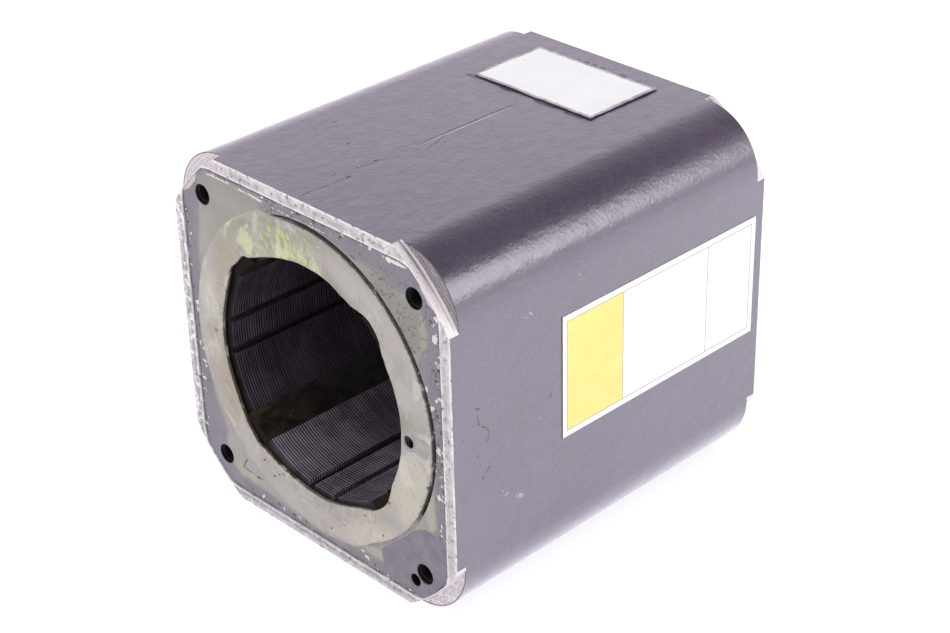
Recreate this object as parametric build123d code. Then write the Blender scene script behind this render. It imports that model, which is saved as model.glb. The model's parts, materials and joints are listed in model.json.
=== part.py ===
from build123d import *
import math
import os

# Electric motor stator, lying on its side as it is stored.
# Origin: on the bore axis, in the face of the front end plate.
# X to the label side, Y along the bore into the stator, Z up. Millimetres.

# Bore and poles, from the bore outward
bore_diameter = 100.8
pole_depth = 16.1
pole_count = 4
pole_end_inset = 1.6
pole_gap = 0.05
interpole_width = 13.6
slot_width = 3.3
slot_depth = 7.0
slot_half_angle = 7.85
liner_recess = 2.6
liner_gap = 0.05

# Housing sleeve round the laminated yoke
yoke_at_flats = 5.95
sleeve_wall = 5.0
corner_radius = 26.0
body_length = 173.0
rim_chamfer = 0.4

# Ends: the corners are turned down to a spigot circle
turned_outside_flats = 15.0
turned_depth = 4.7

# End plates, set back inside the rims
plate_thickness = 9.0
plate_recess = 0.7
plate_gap = 0.05
bolt_inset = 18.0
bolt_hole_diameter = 6.8
bolt_hole_depth = 26.0

# Potting rings, with a groove between ring and plate
ring_overlap = 0.15
ring_groove = 1.35
ring_proud = 1.4
ring_bore_clearance = 0.6
ring_lobe_reach = 3.8
ring_lobe_face = 10.5
ring_lobe_gap = 0.1
ring_undercut = 1.0
ring_undercut_width = 2.4
ring_edge_round = 0.7
ring_inner_round = 0.4

# Potting that fills the groove on the lower left side of the front
groove_fill_start_angle = 104.0
groove_fill_end_angle = 296.0
groove_fill_proud = 0.35
groove_fill_depth = 4.0
groove_fill_gap = 0.05

# Lead hole in the front ring, with its grey sealing patch
lead_hole_diameter = 5.2
lead_hole_wall = 1.4
lead_hole_angle = -1.6
lead_hole_depth = 14.0
lead_patch_margin = 1.6
lead_patch_proud = 0.2

# Filled corner of the front plate, with a second, smaller hole beside the bolt hole
filled_corner_radius = 19.0
filled_corner_inward = 4.0
filled_corner_proud = 0.4
filled_corner_gap = 0.2
small_hole_diameter = 5.3
small_hole_offset = 5.35
small_hole_depth = 14.0

# Nameplate on top, with its front edge lifting
nameplate_width = 65.0
nameplate_length = 39.5
nameplate_thickness = 0.5
nameplate_off_centre = -2.6
nameplate_rear_margin = 10.6
nameplate_lip_length = 7.0
nameplate_lip_height = 0.7

# Label on the side
side_label_length = 111.5
side_label_height = 52.5
side_label_thickness = 0.3
side_label_rear_margin = 5.0
side_label_above_axis = 9.3

# Sizes that follow
bore_radius = bore_diameter / 2
pole_radius = bore_radius + pole_depth
yoke_bore_radius = pole_radius + pole_gap
inner_width = 2 * (yoke_bore_radius + yoke_at_flats)
body_width = inner_width + 2 * sleeve_wall
half_width = body_width / 2
turned_radius = half_width + turned_outside_flats
plate_width = inner_width - 2 * plate_gap
plate_corner_radius = corner_radius - sleeve_wall - plate_gap
ring_radius = pole_radius + ring_overlap
plate_opening_radius = ring_radius + ring_groove
ring_opening_radius = bore_radius + ring_bore_clearance
rim_front = -plate_recess
face_length = body_length - 2 * plate_recess
middle_y = face_length / 2
bolt_spacing = body_width - 2 * bolt_inset
pole_step = 360 / pole_count
pole_length = face_length - 2 * pole_end_inset
ring_thickness = ring_proud + pole_end_inset
lead_hole_radius = ring_opening_radius + lead_hole_wall + lead_hole_diameter / 2
far_out = 2 * body_width


def square_to_bore(start):
    # Sketch plane across the bore, X right and Z up as seen from the front
    return Plane(origin=(0, start, 0), x_dir=(1, 0, 0), z_dir=(0, -1, 0))


def prism(sketch, start, length):
    # Draws the sketch at start and carries it into the stator
    return extrude(square_to_bore(start) * sketch, -length)


def at_rear(solid):
    # The rear end mirrors the front end about the middle of the length
    middle = Plane(origin=(0, middle_y, 0), z_dir=(0, 1, 0))
    return mirror(solid, middle)


def polar(radius, angle):
    turn = math.radians(angle)
    return Pos(radius * math.cos(turn), radius * math.sin(turn)) * Rot(0, 0, angle)


def rounded_square(width, radius):
    return RectangleRounded(width, width, radius)


def bolt_circles(diameter):
    return Sketch() + GridLocations(bolt_spacing, bolt_spacing, 2, 2) * Circle(diameter / 2)


# Housing

def corner_turning():
    # What the lathe takes off the four corners at one end
    return prism(Circle(far_out) - Circle(turned_radius), rim_front, turned_depth)


def housing_sleeve():
    body = prism(rounded_square(body_width, corner_radius), rim_front, body_length)
    end_faces = body.faces().filter_by(Axis.Y)
    body = chamfer(end_faces.edges(), rim_chamfer)
    sleeve = body - prism(rounded_square(inner_width, corner_radius - sleeve_wall), rim_front, body_length)
    sleeve -= corner_turning()
    sleeve -= at_rear(corner_turning())
    return sleeve


# End plates and yoke

def frame_outline(opening_radius):
    return rounded_square(plate_width, plate_corner_radius) - Circle(opening_radius)


def bolt_holes():
    return prism(bolt_circles(bolt_hole_diameter), 0, bolt_hole_depth)


def small_hole_outline():
    place = bolt_spacing / 2
    spot = Pos(place - small_hole_offset, -place - small_hole_offset)
    return spot * Circle(small_hole_diameter / 2)


def small_hole():
    return prism(small_hole_outline(), 0, small_hole_depth)


def end_plate():
    plate = prism(frame_outline(plate_opening_radius), 0, plate_thickness)
    plate -= corner_turning()
    return plate - bolt_holes()


def yoke():
    outline = frame_outline(yoke_bore_radius)
    pack = prism(outline, plate_thickness, face_length - 2 * plate_thickness)
    return pack - bolt_holes() - at_rear(bolt_holes())


def filled_corner():
    # Putty over one corner of the plate, kept clear of the ring's groove and the rim
    place = bolt_spacing / 2 - filled_corner_inward
    outline = Pos(place, -place) * Circle(filled_corner_radius)
    outline &= rounded_square(plate_width, plate_corner_radius)
    outline &= Circle(turned_radius - filled_corner_gap)
    outline -= Circle(plate_opening_radius + filled_corner_gap)
    outline -= bolt_circles(bolt_hole_diameter)
    outline -= small_hole_outline()
    return prism(outline, -filled_corner_proud, filled_corner_proud)


# Potting rings

def ring_opening(shrink=0):
    # A circle that clears the bore, with a flat-ended lobe at each gap between the poles
    reach = ring_opening_radius + ring_lobe_reach - shrink
    corner = ring_lobe_face / math.sqrt(2)
    half = reach / math.sqrt(2) + corner / 2
    lobes = chamfer(Rectangle(2 * half, 2 * half).vertices(), corner)
    return lobes + Circle(ring_opening_radius - shrink)


def potting_ring():
    ring = prism(Circle(ring_radius) - ring_opening(), -ring_proud, ring_thickness)
    undercut = Circle(ring_opening_radius + ring_undercut_width)
    ring -= prism(undercut, pole_end_inset - ring_undercut, ring_undercut)
    front_face = ring.faces().sort_by(Axis.Y)[0]
    ring = fillet(front_face.outer_wire().edges(), ring_edge_round)
    front_face = ring.faces().sort_by(Axis.Y)[0]
    return chamfer(front_face.inner_wires().edges(), ring_inner_round)


def groove_fill():
    # Potting run over into the groove between ring and plate
    outline = Circle(plate_opening_radius - groove_fill_gap) - Circle(ring_radius + groove_fill_gap)
    points = [(0, 0)]
    middle = (groove_fill_start_angle + groove_fill_end_angle) / 2
    for angle in (groove_fill_start_angle, middle, groove_fill_end_angle):
        turn = math.radians(angle)
        points.append((far_out * math.cos(turn), far_out * math.sin(turn)))
    outline &= make_face(Polyline(*points, close=True))
    return prism(outline, -groove_fill_proud, groove_fill_proud + groove_fill_depth)


def lead_spot():
    return polar(lead_hole_radius, lead_hole_angle)


def lead_hole_outline():
    return lead_spot() * Circle(lead_hole_diameter / 2)


def lead_hole():
    return prism(lead_hole_outline(), -ring_proud, lead_hole_depth)


def lead_patch():
    # From round the hole out to the rounded edge of the ring
    half = lead_hole_diameter / 2 + lead_patch_margin
    flat_radius = ring_radius - ring_edge_round
    strip = Pos(half, 0) * Rectangle(2 * half, 2 * half)
    strip += Pos(3 * half, 0) * Rectangle(4 * half, 2 * half)
    outline = lead_spot() * (Circle(half) + strip)
    outline &= Circle(flat_radius)
    outline -= Circle(ring_opening_radius + ring_inner_round)
    outline -= lead_hole_outline()
    return prism(outline, -ring_proud - lead_patch_proud, lead_patch_proud)


# Poles, slots and the resin between the poles

def lamination_ring():
    return Circle(pole_radius) - Circle(bore_radius)


def interpole_outline(angle, width):
    strip = Rot(0, 0, angle) * Pos(far_out / 2, 0) * Rectangle(far_out, width)
    return lamination_ring() & strip


def slot_outline(angle, inner_radius, width):
    outer_radius = bore_radius + slot_depth
    middle = (inner_radius + outer_radius) / 2
    return polar(middle, angle) * Rectangle(outer_radius - inner_radius, width)


def pole(angle):
    half = pole_step / 2
    corners = [(0, 0)]
    for side in (-half, half):
        turn = math.radians(angle + side)
        corners.append((far_out * math.cos(turn), far_out * math.sin(turn)))
    outline = lamination_ring() & make_face(Polyline(*corners, close=True))
    for side in (-half, half):
        outline -= interpole_outline(angle + side, interpole_width + 2 * pole_gap)
    for side in (-slot_half_angle, slot_half_angle):
        outline -= slot_outline(angle + side, bore_radius - slot_width, slot_width)
    return prism(outline, pole_end_inset, pole_length)


def interpole_resin(angle):
    # The bar between two poles; its ends rise to the end plates inside the ring's lobes
    bar = prism(interpole_outline(angle, interpole_width), pole_end_inset, pole_length)
    rise = interpole_outline(angle, interpole_width) & ring_opening(ring_lobe_gap)
    front_end = prism(rise, 0, pole_end_inset)
    return bar + front_end + at_rear(front_end)


def slot_liner(angle):
    outline = slot_outline(angle, bore_radius + liner_recess, slot_width - 2 * liner_gap)
    return prism(outline, pole_end_inset, pole_length)


# Nameplate and label

def nameplate():
    # Thin foil, flat on the housing, its front edge curling up
    # Local Y runs along the bore from the middle of the plate
    front = -nameplate_length / 2
    mid_thickness = nameplate_thickness / 2
    flat_start = front + nameplate_lip_length
    flat = Line((-front, mid_thickness), (flat_start, mid_thickness))
    lip_end = (front, mid_thickness + nameplate_lip_height)
    lip = TangentArc((flat_start, mid_thickness), lip_end, tangent=(-1, 0))
    section = trace(flat + lip, nameplate_thickness)
    place = rim_front + body_length - nameplate_rear_margin - nameplate_length / 2
    side_view = Plane(origin=(nameplate_off_centre, place, half_width), x_dir=(0, 1, 0), z_dir=(1, 0, 0))
    return extrude(side_view * section, nameplate_width / 2, both=True)


def side_label():
    middle = rim_front + body_length - side_label_rear_margin - side_label_length / 2
    place = Pos(half_width + side_label_thickness / 2, middle, side_label_above_axis)
    return place * Box(side_label_thickness, side_label_length, side_label_height)


front_plate = end_plate() - small_hole()
front_ring = potting_ring() - lead_hole()

parts = {
    "housing_sleeve": housing_sleeve(),
    "front_end_plate": front_plate,
    "rear_end_plate": at_rear(end_plate()),
    "lamination_yoke": yoke() - small_hole(),
    "front_potting_ring": front_ring,
    "rear_potting_ring": at_rear(potting_ring()),
    "filled_corner": filled_corner(),
    "groove_fill": groove_fill(),
    "lead_patch": lead_patch(),
    "nameplate": nameplate(),
    "side_label": side_label(),
}

pole_names = ("right", "top", "left", "bottom")
for index, name in enumerate(pole_names):
    pole_angle = index * pole_step
    parts["pole_" + name] = pole(pole_angle)
    parts["slot_liner_" + name + "_a"] = slot_liner(pole_angle - slot_half_angle)
    parts["slot_liner_" + name + "_b"] = slot_liner(pole_angle + slot_half_angle)

corner_names = ("top_right", "top_left", "bottom_left", "bottom_right")
for index, name in enumerate(corner_names):
    corner_angle = (index + 0.5) * pole_step
    parts["interpole_resin_" + name] = interpole_resin(corner_angle)

parts["pole_right"] -= lead_hole()

os.makedirs("parts", exist_ok=True)
for name, solid in parts.items():
    export_step(solid, "parts/" + name + ".step")
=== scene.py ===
import json
import math
import random
import bpy
import bmesh
import numpy
from mathutils import Matrix, Vector, noise
from mathutils.geometry import delaunay_2d_cdt


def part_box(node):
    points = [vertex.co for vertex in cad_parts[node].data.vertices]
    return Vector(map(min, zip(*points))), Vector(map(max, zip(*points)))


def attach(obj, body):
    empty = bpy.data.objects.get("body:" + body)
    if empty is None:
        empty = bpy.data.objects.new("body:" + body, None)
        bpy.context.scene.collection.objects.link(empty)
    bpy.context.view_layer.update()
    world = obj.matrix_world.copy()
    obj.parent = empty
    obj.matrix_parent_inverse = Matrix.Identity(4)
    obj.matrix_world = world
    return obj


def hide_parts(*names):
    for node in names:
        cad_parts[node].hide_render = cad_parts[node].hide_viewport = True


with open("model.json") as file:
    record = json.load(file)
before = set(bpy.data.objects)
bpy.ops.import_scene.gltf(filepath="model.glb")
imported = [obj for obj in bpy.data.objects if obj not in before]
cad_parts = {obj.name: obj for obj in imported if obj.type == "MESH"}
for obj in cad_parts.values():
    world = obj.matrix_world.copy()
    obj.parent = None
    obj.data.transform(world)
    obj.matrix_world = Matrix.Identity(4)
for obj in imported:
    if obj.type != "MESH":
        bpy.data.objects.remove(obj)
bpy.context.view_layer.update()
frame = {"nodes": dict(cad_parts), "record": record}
mm = 0.001


# Small helpers for shapes

def mountDims(name):
    for mount in frame["record"]["mounts"]:
        if mount["name"] == name:
            return mount["dims"]


def ripple(point, size, seed=0.0):
    # Smooth noise from -1 to 1, its lumps about size across (both in mm)
    return noise.noise(Vector(point) / size + Vector((seed, 3.7 * seed, -1.9 * seed)))


def flatRipple(p, size, seed):
    # The same noise at a flat (x, z) point
    return ripple((p.x, 0, p.y), size, seed)


def roundRipple(radius, angle, size, seed=0.0):
    # The same noise along a circle
    return ripple((radius * math.cos(angle), 0, radius * math.sin(angle)), size, seed)


def smoothStep(value, low, high):
    share = max(0.0, min(1.0, (value - low) / (high - low)))
    return share * share * (3 - 2 * share)


def finishMesh(name, points, faces, materials, faceSlots=None, sharpAngle=35, weld=0.0):
    # Points are in mm in the frame's axes; the mesh is made in metres
    mesh = bpy.data.meshes.new(name)
    mesh.from_pydata([Vector(p) * mm for p in points], [], faces)
    for material in materials:
        mesh.materials.append(material)
    if faceSlots:
        mesh.polygons.foreach_set("material_index", faceSlots)
    work = bmesh.new()
    work.from_mesh(mesh)
    if weld:
        bmesh.ops.remove_doubles(work, verts=work.verts, dist=weld * mm)
        bmesh.ops.dissolve_degenerate(work, edges=work.edges, dist=weld * mm * 0.5)
    bmesh.ops.recalc_face_normals(work, faces=work.faces)
    for face in work.faces:
        face.smooth = True
    limit = math.radians(sharpAngle)
    for edge in work.edges:
        edge.smooth = len(edge.link_faces) == 2 and edge.calc_face_angle(0) < limit
    work.to_mesh(mesh)
    work.free()
    piece = bpy.data.objects.new(name, mesh)
    bpy.context.scene.collection.objects.link(piece)
    return piece


def flatPlaces(piece):
    # All points of a piece as (x, z) in mm
    places = numpy.empty(len(piece.data.vertices) * 3)
    piece.data.vertices.foreach_get("co", places)
    return places.reshape(-1, 3)[:, (0, 2)] / mm


def keepValues(piece, name, values):
    piece.data.attributes.new(name, "FLOAT", "POINT").data.foreach_set("value", values)


def addField(piece, name, outline):
    # Keeps on each point how far inside a flat (x, z) outline it lies, in mm
    loop = numpy.array(outline)
    following = numpy.roll(loop, -1, axis=0)
    places = flatPlaces(piece)
    nearest = numpy.full(len(places), 1e9)
    inside = numpy.zeros(len(places), bool)
    for a, b in zip(loop, following):
        along = numpy.clip(((places - a) @ (b - a)) / ((b - a) @ (b - a)), 0, 1)
        gap = places - a - along[:, None] * (b - a)
        nearest = numpy.minimum(nearest, numpy.hypot(gap[:, 0], gap[:, 1]))
        crosses = (a[1] > places[:, 1]) != (b[1] > places[:, 1])
        slope = (b[0] - a[0]) / (b[1] - a[1] if b[1] != a[1] else 1e-9)
        inside ^= crosses & (places[:, 0] < a[0] + slope * (places[:, 1] - a[1]))
    keepValues(piece, name, numpy.where(inside, nearest, -nearest))


def strokeOvals(lines):
    # Scratches given as (start, end, width) become long ovals (centre, half sizes, tilt)
    ovals = []
    for start, end, width in lines:
        dx, dz = end[0] - start[0], end[1] - start[1]
        middle = ((start[0] + end[0]) / 2, (start[1] + end[1]) / 2)
        ovals.append((middle, (math.hypot(dx, dz) / 2, width / 2), math.degrees(math.atan2(dz, dx))))
    return ovals


def addOvals(piece, name, ovals):
    # Keeps on each point how far inside the nearest of some ovals it lies, in mm
    places = flatPlaces(piece)
    farOutside = -9.0
    values = numpy.full(len(places), farOutside)
    for centre, size, tilt in ovals:
        turn = math.radians(tilt)
        gap = places - numpy.array(centre)
        along = gap @ numpy.array((math.cos(turn), math.sin(turn)))
        aside = gap @ numpy.array((-math.sin(turn), math.cos(turn)))
        depth = (1 - numpy.hypot(along / size[0], aside / size[1])) * min(size)
        values = numpy.maximum(values, depth)
    keepValues(piece, name, values)


def polarPoint(radius, angle):
    return Vector((radius * math.cos(angle), radius * math.sin(angle)))


def seat(piece, slotName, *nodeNames):
    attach(piece, "root")
    if nodeNames:
        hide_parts(*nodeNames)
    return piece


def ringFaces(ringCount, pointCount, closed=True):
    # Quads between rings of points; closed joins the last point of a ring to its first
    faces = []
    spans = pointCount if closed else pointCount - 1
    for ring in range(ringCount - 1):
        for i in range(spans):
            j = (i + 1) % pointCount
            a = ring * pointCount
            b = a + pointCount
            faces.append((a + i, a + j, b + j, b + i))
    return faces


# Small helpers for node materials; put() and all that use it work on the tree opened last

class Value:
    # A node's output that can be added, multiplied and so on like a number
    def __init__(self, socket):
        self.socket = socket

    def __add__(self, other):
        return calc("ADD", self, other)

    def __sub__(self, other):
        return calc("SUBTRACT", self, other)

    def __rsub__(self, other):
        return calc("SUBTRACT", other, self)

    def __mul__(self, other):
        return calc("MULTIPLY", self, other)

    def __abs__(self):
        return calc("ABSOLUTE", self)

    __radd__ = __add__
    __rmul__ = __mul__


def openTree(owner):
    # Returns the node that the result goes into
    global tree
    owner.use_nodes = True
    tree = owner.node_tree
    return tree.nodes.get("Principled BSDF") or tree.nodes["Background"]


def plug(socket, value):
    if isinstance(value, Value):
        tree.links.new(value.socket, socket)
    elif socket.type == "RGBA":
        socket.default_value = (*value, 1.0)
    else:
        socket.default_value = value


def put(kind, inputs=None, out=0, **settings):
    node = tree.nodes.new(kind)
    for key, value in settings.items():
        setattr(node, key, value)
    for key, value in (inputs or {}).items():
        plug(node.inputs[key], value)
    return Value(node.outputs[out])


def calc(operation, a, b=0.0, clamp=False):
    return put("ShaderNodeMath", {0: a, 1: b}, operation=operation, use_clamp=clamp)


def grain(size, detail=3.0, rough=0.55, twist=0.0, stretch=None, offset=0.0):
    # Noise from 0 to 1 with lumps about size mm across
    where = coords
    if stretch or offset:
        moved = {"Vector": coords, "Location": (offset, offset * 0.7, -offset)}
        if stretch:
            moved["Scale"] = stretch
        where = put("ShaderNodeMapping", moved)
    inputs = {"Vector": where, "Scale": 1 / (size * mm), "Detail": detail, "Roughness": rough, "Distortion": twist}
    return put("ShaderNodeTexNoise", inputs, "Fac")


def between(value, low, high, toLow=0.0, toHigh=1.0):
    inputs = {"Value": value, "From Min": low, "From Max": high, "To Min": toLow, "To Max": toHigh}
    return put("ShaderNodeMapRange", inputs, interpolation_type="SMOOTHSTEP")


def fading(value, low, high):
    # 1 below low, 0 above high
    return between(value, low, high, 1.0, 0.0)


def blend(share, first, second):
    return put("ShaderNodeMix", {0: share, 6: first, 7: second}, 2, data_type="RGBA")


def emboss(height, depth, normal=None):
    # Bump whose full height is depth mm
    inputs = {"Height": height, "Distance": depth * mm, "Strength": 1.0}
    if normal:
        inputs["Normal"] = normal
    return put("ShaderNodeBump", inputs)


def newFinish(name, metallic=0.0, ior=1.5, coat=0.0, coatRoughness=0.1, specular=0.5):
    global material, shader, coords
    material = bpy.data.materials.new(name)
    shader = openTree(material)
    plug(shader.inputs["Metallic"], metallic)
    plug(shader.inputs["IOR"], ior)
    plug(shader.inputs["Specular IOR Level"], specular)
    plug(shader.inputs["Coat Weight"], coat)
    plug(shader.inputs["Coat Roughness"], coatRoughness)
    coords = put("ShaderNodeTexCoord", out="Object")


def finished(color, roughness, normal, metallic=None):
    plug(shader.inputs["Base Color"], color)
    plug(shader.inputs["Roughness"], roughness)
    plug(shader.inputs["Normal"], normal)
    if metallic:
        plug(shader.inputs["Metallic"], metallic)
    return material


def axes(vector=None):
    parts = put("ShaderNodeSeparateXYZ", {0: vector or coords}).socket.node
    return [Value(socket) for socket in parts.outputs]


def distance(x, z):
    flat = put("ShaderNodeCombineXYZ", {0: x, 1: z})
    return put("ShaderNodeVectorMath", {0: flat}, "Value", operation="LENGTH")


def fromEnds(along, low, high):
    # Distance from the nearer end of a span
    return (high - low) / 2 - abs(along - (low + high) / 2)


def warped(size, amount):
    # Coordinates pushed about by noise, so that outlines drawn with them are torn
    inputs = {"Vector": coords, "Scale": 1 / (size * mm), "Detail": 4.0, "Roughness": 0.6}
    push = put("ShaderNodeTexNoise", inputs, "Color")
    push = put("ShaderNodeVectorMath", {0: push, 1: (0.5, 0.5, 0.5)}, operation="SUBTRACT")
    push = put("ShaderNodeVectorMath", {0: push, "Scale": amount * mm}, operation="SCALE")
    return put("ShaderNodeVectorMath", {0: coords, 1: push})


def spots(vector, places, edge, plane):
    # 1 inside ovals given as (centre, half sizes, tilt) in mm and degrees, on the top or the side
    nearest = None
    for centre, size, tilt in places:
        if plane == "xy":
            location, turn, scale = (*centre, 0), (0, 0, tilt), (*size, 1e6)
        else:
            location, turn, scale = (0, *centre), (tilt, 0, 0), (1e6, *size)
        inputs = {"Vector": vector, "Location": Vector(location) * mm,
                  "Rotation": [math.radians(t) for t in turn], "Scale": Vector(scale) * mm}
        local = put("ShaderNodeMapping", inputs, vector_type="TEXTURE")
        far = put("ShaderNodeVectorMath", {0: local}, "Value", operation="LENGTH")
        nearest = calc("MINIMUM", nearest, far) if nearest else far
    return fading(nearest, 1.0 - edge, 1.0)


def strokes(vector, lines, edge, plane):
    return spots(vector, strokeOvals(lines), edge, plane)


def field(name):
    return put("ShaderNodeAttribute", out="Fac", attribute_name=name)


def within(name, noise, amount, soft):
    # 1 inside the ovals kept under a name, their outline pushed by noise of amount mm
    return between(field(name) + 2.0 * amount * (noise - 0.5), -soft, soft)


def anyOf(*masks):
    total = masks[0]
    for mask in masks[1:]:
        total = calc("MAXIMUM", total, mask)
    return total


print("frame loaded, helpers ready")


# Studio: camera, lamps, floor

studio = {
    "cameraPlace": (535.365, -426.589, 417.271),
    "cameraForward": (-0.62675, 0.60035, -0.49675),
    "cameraUp": (-0.34108, 0.36181, 0.86761),
    "lens": 79.66,
    "floorColor": (0.86, 0.86, 0.87),
    "floorLift": 0.5,
    "floorShine": 0.82,
    "skyDiffuse": 0.52,
    "wallLevel": 1.12,
    "ceilingLevel": 0.06,
    "wallTint": (1, 0.92, 1.04),
    "floorTint": (0.98, 0.94, 1.12),
    "keyPlace": (-0.75, -1.15, 1.25),
    "keySize": 1.1,
    "keyPower": 13.5,
    "sidePlace": (1.5, -0.35, 0.6),
    "sideSize": 0.9,
    "sidePower": 12.5,
    "backPlace": (1.73, 1.13, 0.92),
    "backSize": 1.05,
    "backPower": 13.4,
}


def makeCamera():
    data = bpy.data.cameras.new("photoCamera")
    data.lens = studio["lens"]
    data.sensor_width = 36
    data.sensor_fit = "HORIZONTAL"
    camera = bpy.data.objects.new("photoCamera", data)
    bpy.context.scene.collection.objects.link(camera)
    back = -Vector(studio["cameraForward"]).normalized()
    up = Vector(studio["cameraUp"]).normalized()
    right = up.cross(back).normalized()
    turn = Matrix((right, up, back)).transposed()
    camera.matrix_world = Matrix.Translation(Vector(studio["cameraPlace"]) * mm) @ turn.to_4x4()
    bpy.context.scene.camera = camera


def makeSoftbox(name, place, size, power, shown=True):
    data = bpy.data.lights.new(name, "AREA")
    data.shape = "RECTANGLE"
    data.size = data.size_y = size
    data.energy = power
    lamp = bpy.data.objects.new(name, data)
    bpy.context.scene.collection.objects.link(lamp)
    lamp.location = place
    lamp.rotation_euler = (-Vector(place)).to_track_quat("-Z", "Y").to_euler()
    lamp.visible_camera = False
    lamp.visible_glossy = shown


def lightPath(kind):
    return put("ShaderNodeLightPath", out=kind)


def makeSky():
    # Pale walls to just above eye level, a darker ceiling; seen only in reflections
    world = bpy.data.worlds.new("studioSky")
    bpy.context.scene.world = world
    background = openTree(world)
    sideways, _, height = axes(put("ShaderNodeTexCoord", out="Generated"))
    away = between(sideways, -0.1, 0.15, 0.0, 0.15)
    wall = put("ShaderNodeMapRange", {"Value": height + away, "From Min": 0.47, "From Max": 0.78,
                                      "To Min": studio["wallLevel"], "To Max": studio["ceilingLevel"]})
    glossy = anyOf(lightPath("Is Glossy Ray"), lightPath("Is Transmission Ray"))
    seen = lightPath("Is Camera Ray")
    level = glossy * wall + studio["skyDiffuse"] * (1 - glossy)
    plug(background.inputs["Strength"], level * (1 - seen) + seen)
    plug(background.inputs["Color"], blend(glossy, (1, 1, 1), studio["wallTint"]))


def makeFloor():
    newFinish("paleFloor", specular=0.1)
    plug(shader.inputs["Roughness"], 0.9)
    plug(shader.inputs["Base Color"], studio["floorColor"])
    glossy = lightPath("Is Glossy Ray")
    plug(shader.inputs["Emission Color"], blend(glossy, (1, 1, 1), studio["floorTint"]))
    glow = studio["floorLift"] * lightPath("Is Camera Ray") + studio["floorShine"] * glossy
    plug(shader.inputs["Emission Strength"], glow)
    bpy.ops.mesh.primitive_plane_add(size=8, location=(0, 0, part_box("housing_sleeve")[0].z))
    floor = bpy.context.object
    floor.name = "studioFloor"
    floor.data.materials.append(material)


makeCamera()
makeSky()
makeFloor()
for lampName, shown in (("key", True), ("side", False), ("back", True)):
    makeSoftbox(lampName + "Softbox", *(studio[lampName + part] for part in ("Place", "Size", "Power")), shown)
bpy.context.scene.view_settings.view_transform = "Standard"
print("studio ready")


# Finishes

def housingPaint():
    newFinish("housingPaint", ior=1.7, coat=1.0, coatRoughness=0.2)
    x, y, z = axes()
    broad = grain(45, 3)
    fine = grain(1.1, 2)
    color = blend(between(broad, 0.3, 0.7), (0.056, 0.04, 0.069), (0.07, 0.051, 0.086))
    color = blend(between(fine, 0.35, 0.8, 0.0, 0.3), color, (0.14, 0.115, 0.16))
    torn = warped(3.0, 2.2)
    bent = warped(9.0, 1.6)
    # Small dents in the paint, their pale spots a painted glint
    glintSpots = between(grain(1.2, 2, 0.5, offset=0.3), 0.74, 0.79)
    glintAreas = between(grain(24, 2, offset=0.9), 0.52, 0.68)
    glintDents = glintSpots * glintAreas
    color = blend(0.5 * glintDents, color, (0.5, 0.47, 0.52))
    # Scribed line, ragged split and dark specks on the top; scratches on the side
    top = between(z, 77.2 * mm, 77.4 * mm)
    rightSide = between(x, 77.2 * mm, 77.4 * mm)
    scribe = strokes(bent, housingMarks["scribes"], 0.5, "xy")
    split = strokes(torn, housingMarks["splits"], 0.6, "xy")
    specks = spots(torn, housingMarks["topSpecks"], 0.5, "xy")
    residue = spots(torn, housingMarks["residue"], 0.3, "xy")
    topMarks = anyOf(scribe, split, specks, residue) * top
    # Painted highlight along the raised ridge beside the scribed line
    bright = strokes(bent, housingMarks["scribeRidges"], 0.5, "xy") * top
    color = blend(0.75 * bright, color, (0.42, 0.39, 0.44))
    scratches = [(start, end, 2.1 * width) for start, end, width in housingMarks["sideScratches"]]
    sideMarks = strokes(warped(2.0, 1.2), scratches, 0.5, "yz") * rightSide
    scuffs = strokes(torn, housingMarks["sideScuffs"], 0.8, "yz")
    scuffs = scuffs * between(grain(1.4, 3), 0.45, 0.6)
    color = blend(0.6 * (scuffs * rightSide), color, (0.45, 0.42, 0.47))
    marks = anyOf(topMarks, sideMarks)
    color = blend(0.85 * marks, color, (0.012, 0.01, 0.013))
    # Paint worn off along both ends
    toEnd = fromEnds(y, sleeveFront, sleeveRear)
    reach = 1.3 * mm * between(grain(2.4, 5, 0.65), 0.4, 0.8)
    worn = fading(toEnd - reach, -0.1 * mm, 0.1 * mm)
    dark = fading(toEnd - 1.7 * reach, -0.1 * mm, 0.25 * mm)
    color = blend(0.7 * dark, color, (0.035, 0.03, 0.036))
    color = blend(0.6 * worn, color, (0.4, 0.37, 0.37))
    roughness = between(grain(6, 4), 0.2, 0.8, 0.27, 0.38)
    roughness = calc("ADD", roughness, 0.3 * anyOf(glintDents, marks), True)
    peel = grain(1.5, 2, 0.5)
    dents = grain(5.5, 2, 0.45, stretch=(1.0, 0.55, 1.0))
    sunk = 1 - anyOf(marks, 0.6 * glintDents)
    normal = emboss(peel, 0.1)
    normal = emboss(dents, 0.16, normal)
    normal = emboss(sunk, 0.22, normal)
    plug(shader.inputs["Coat Normal"], normal)
    return finished(color, roughness, normal)


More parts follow.
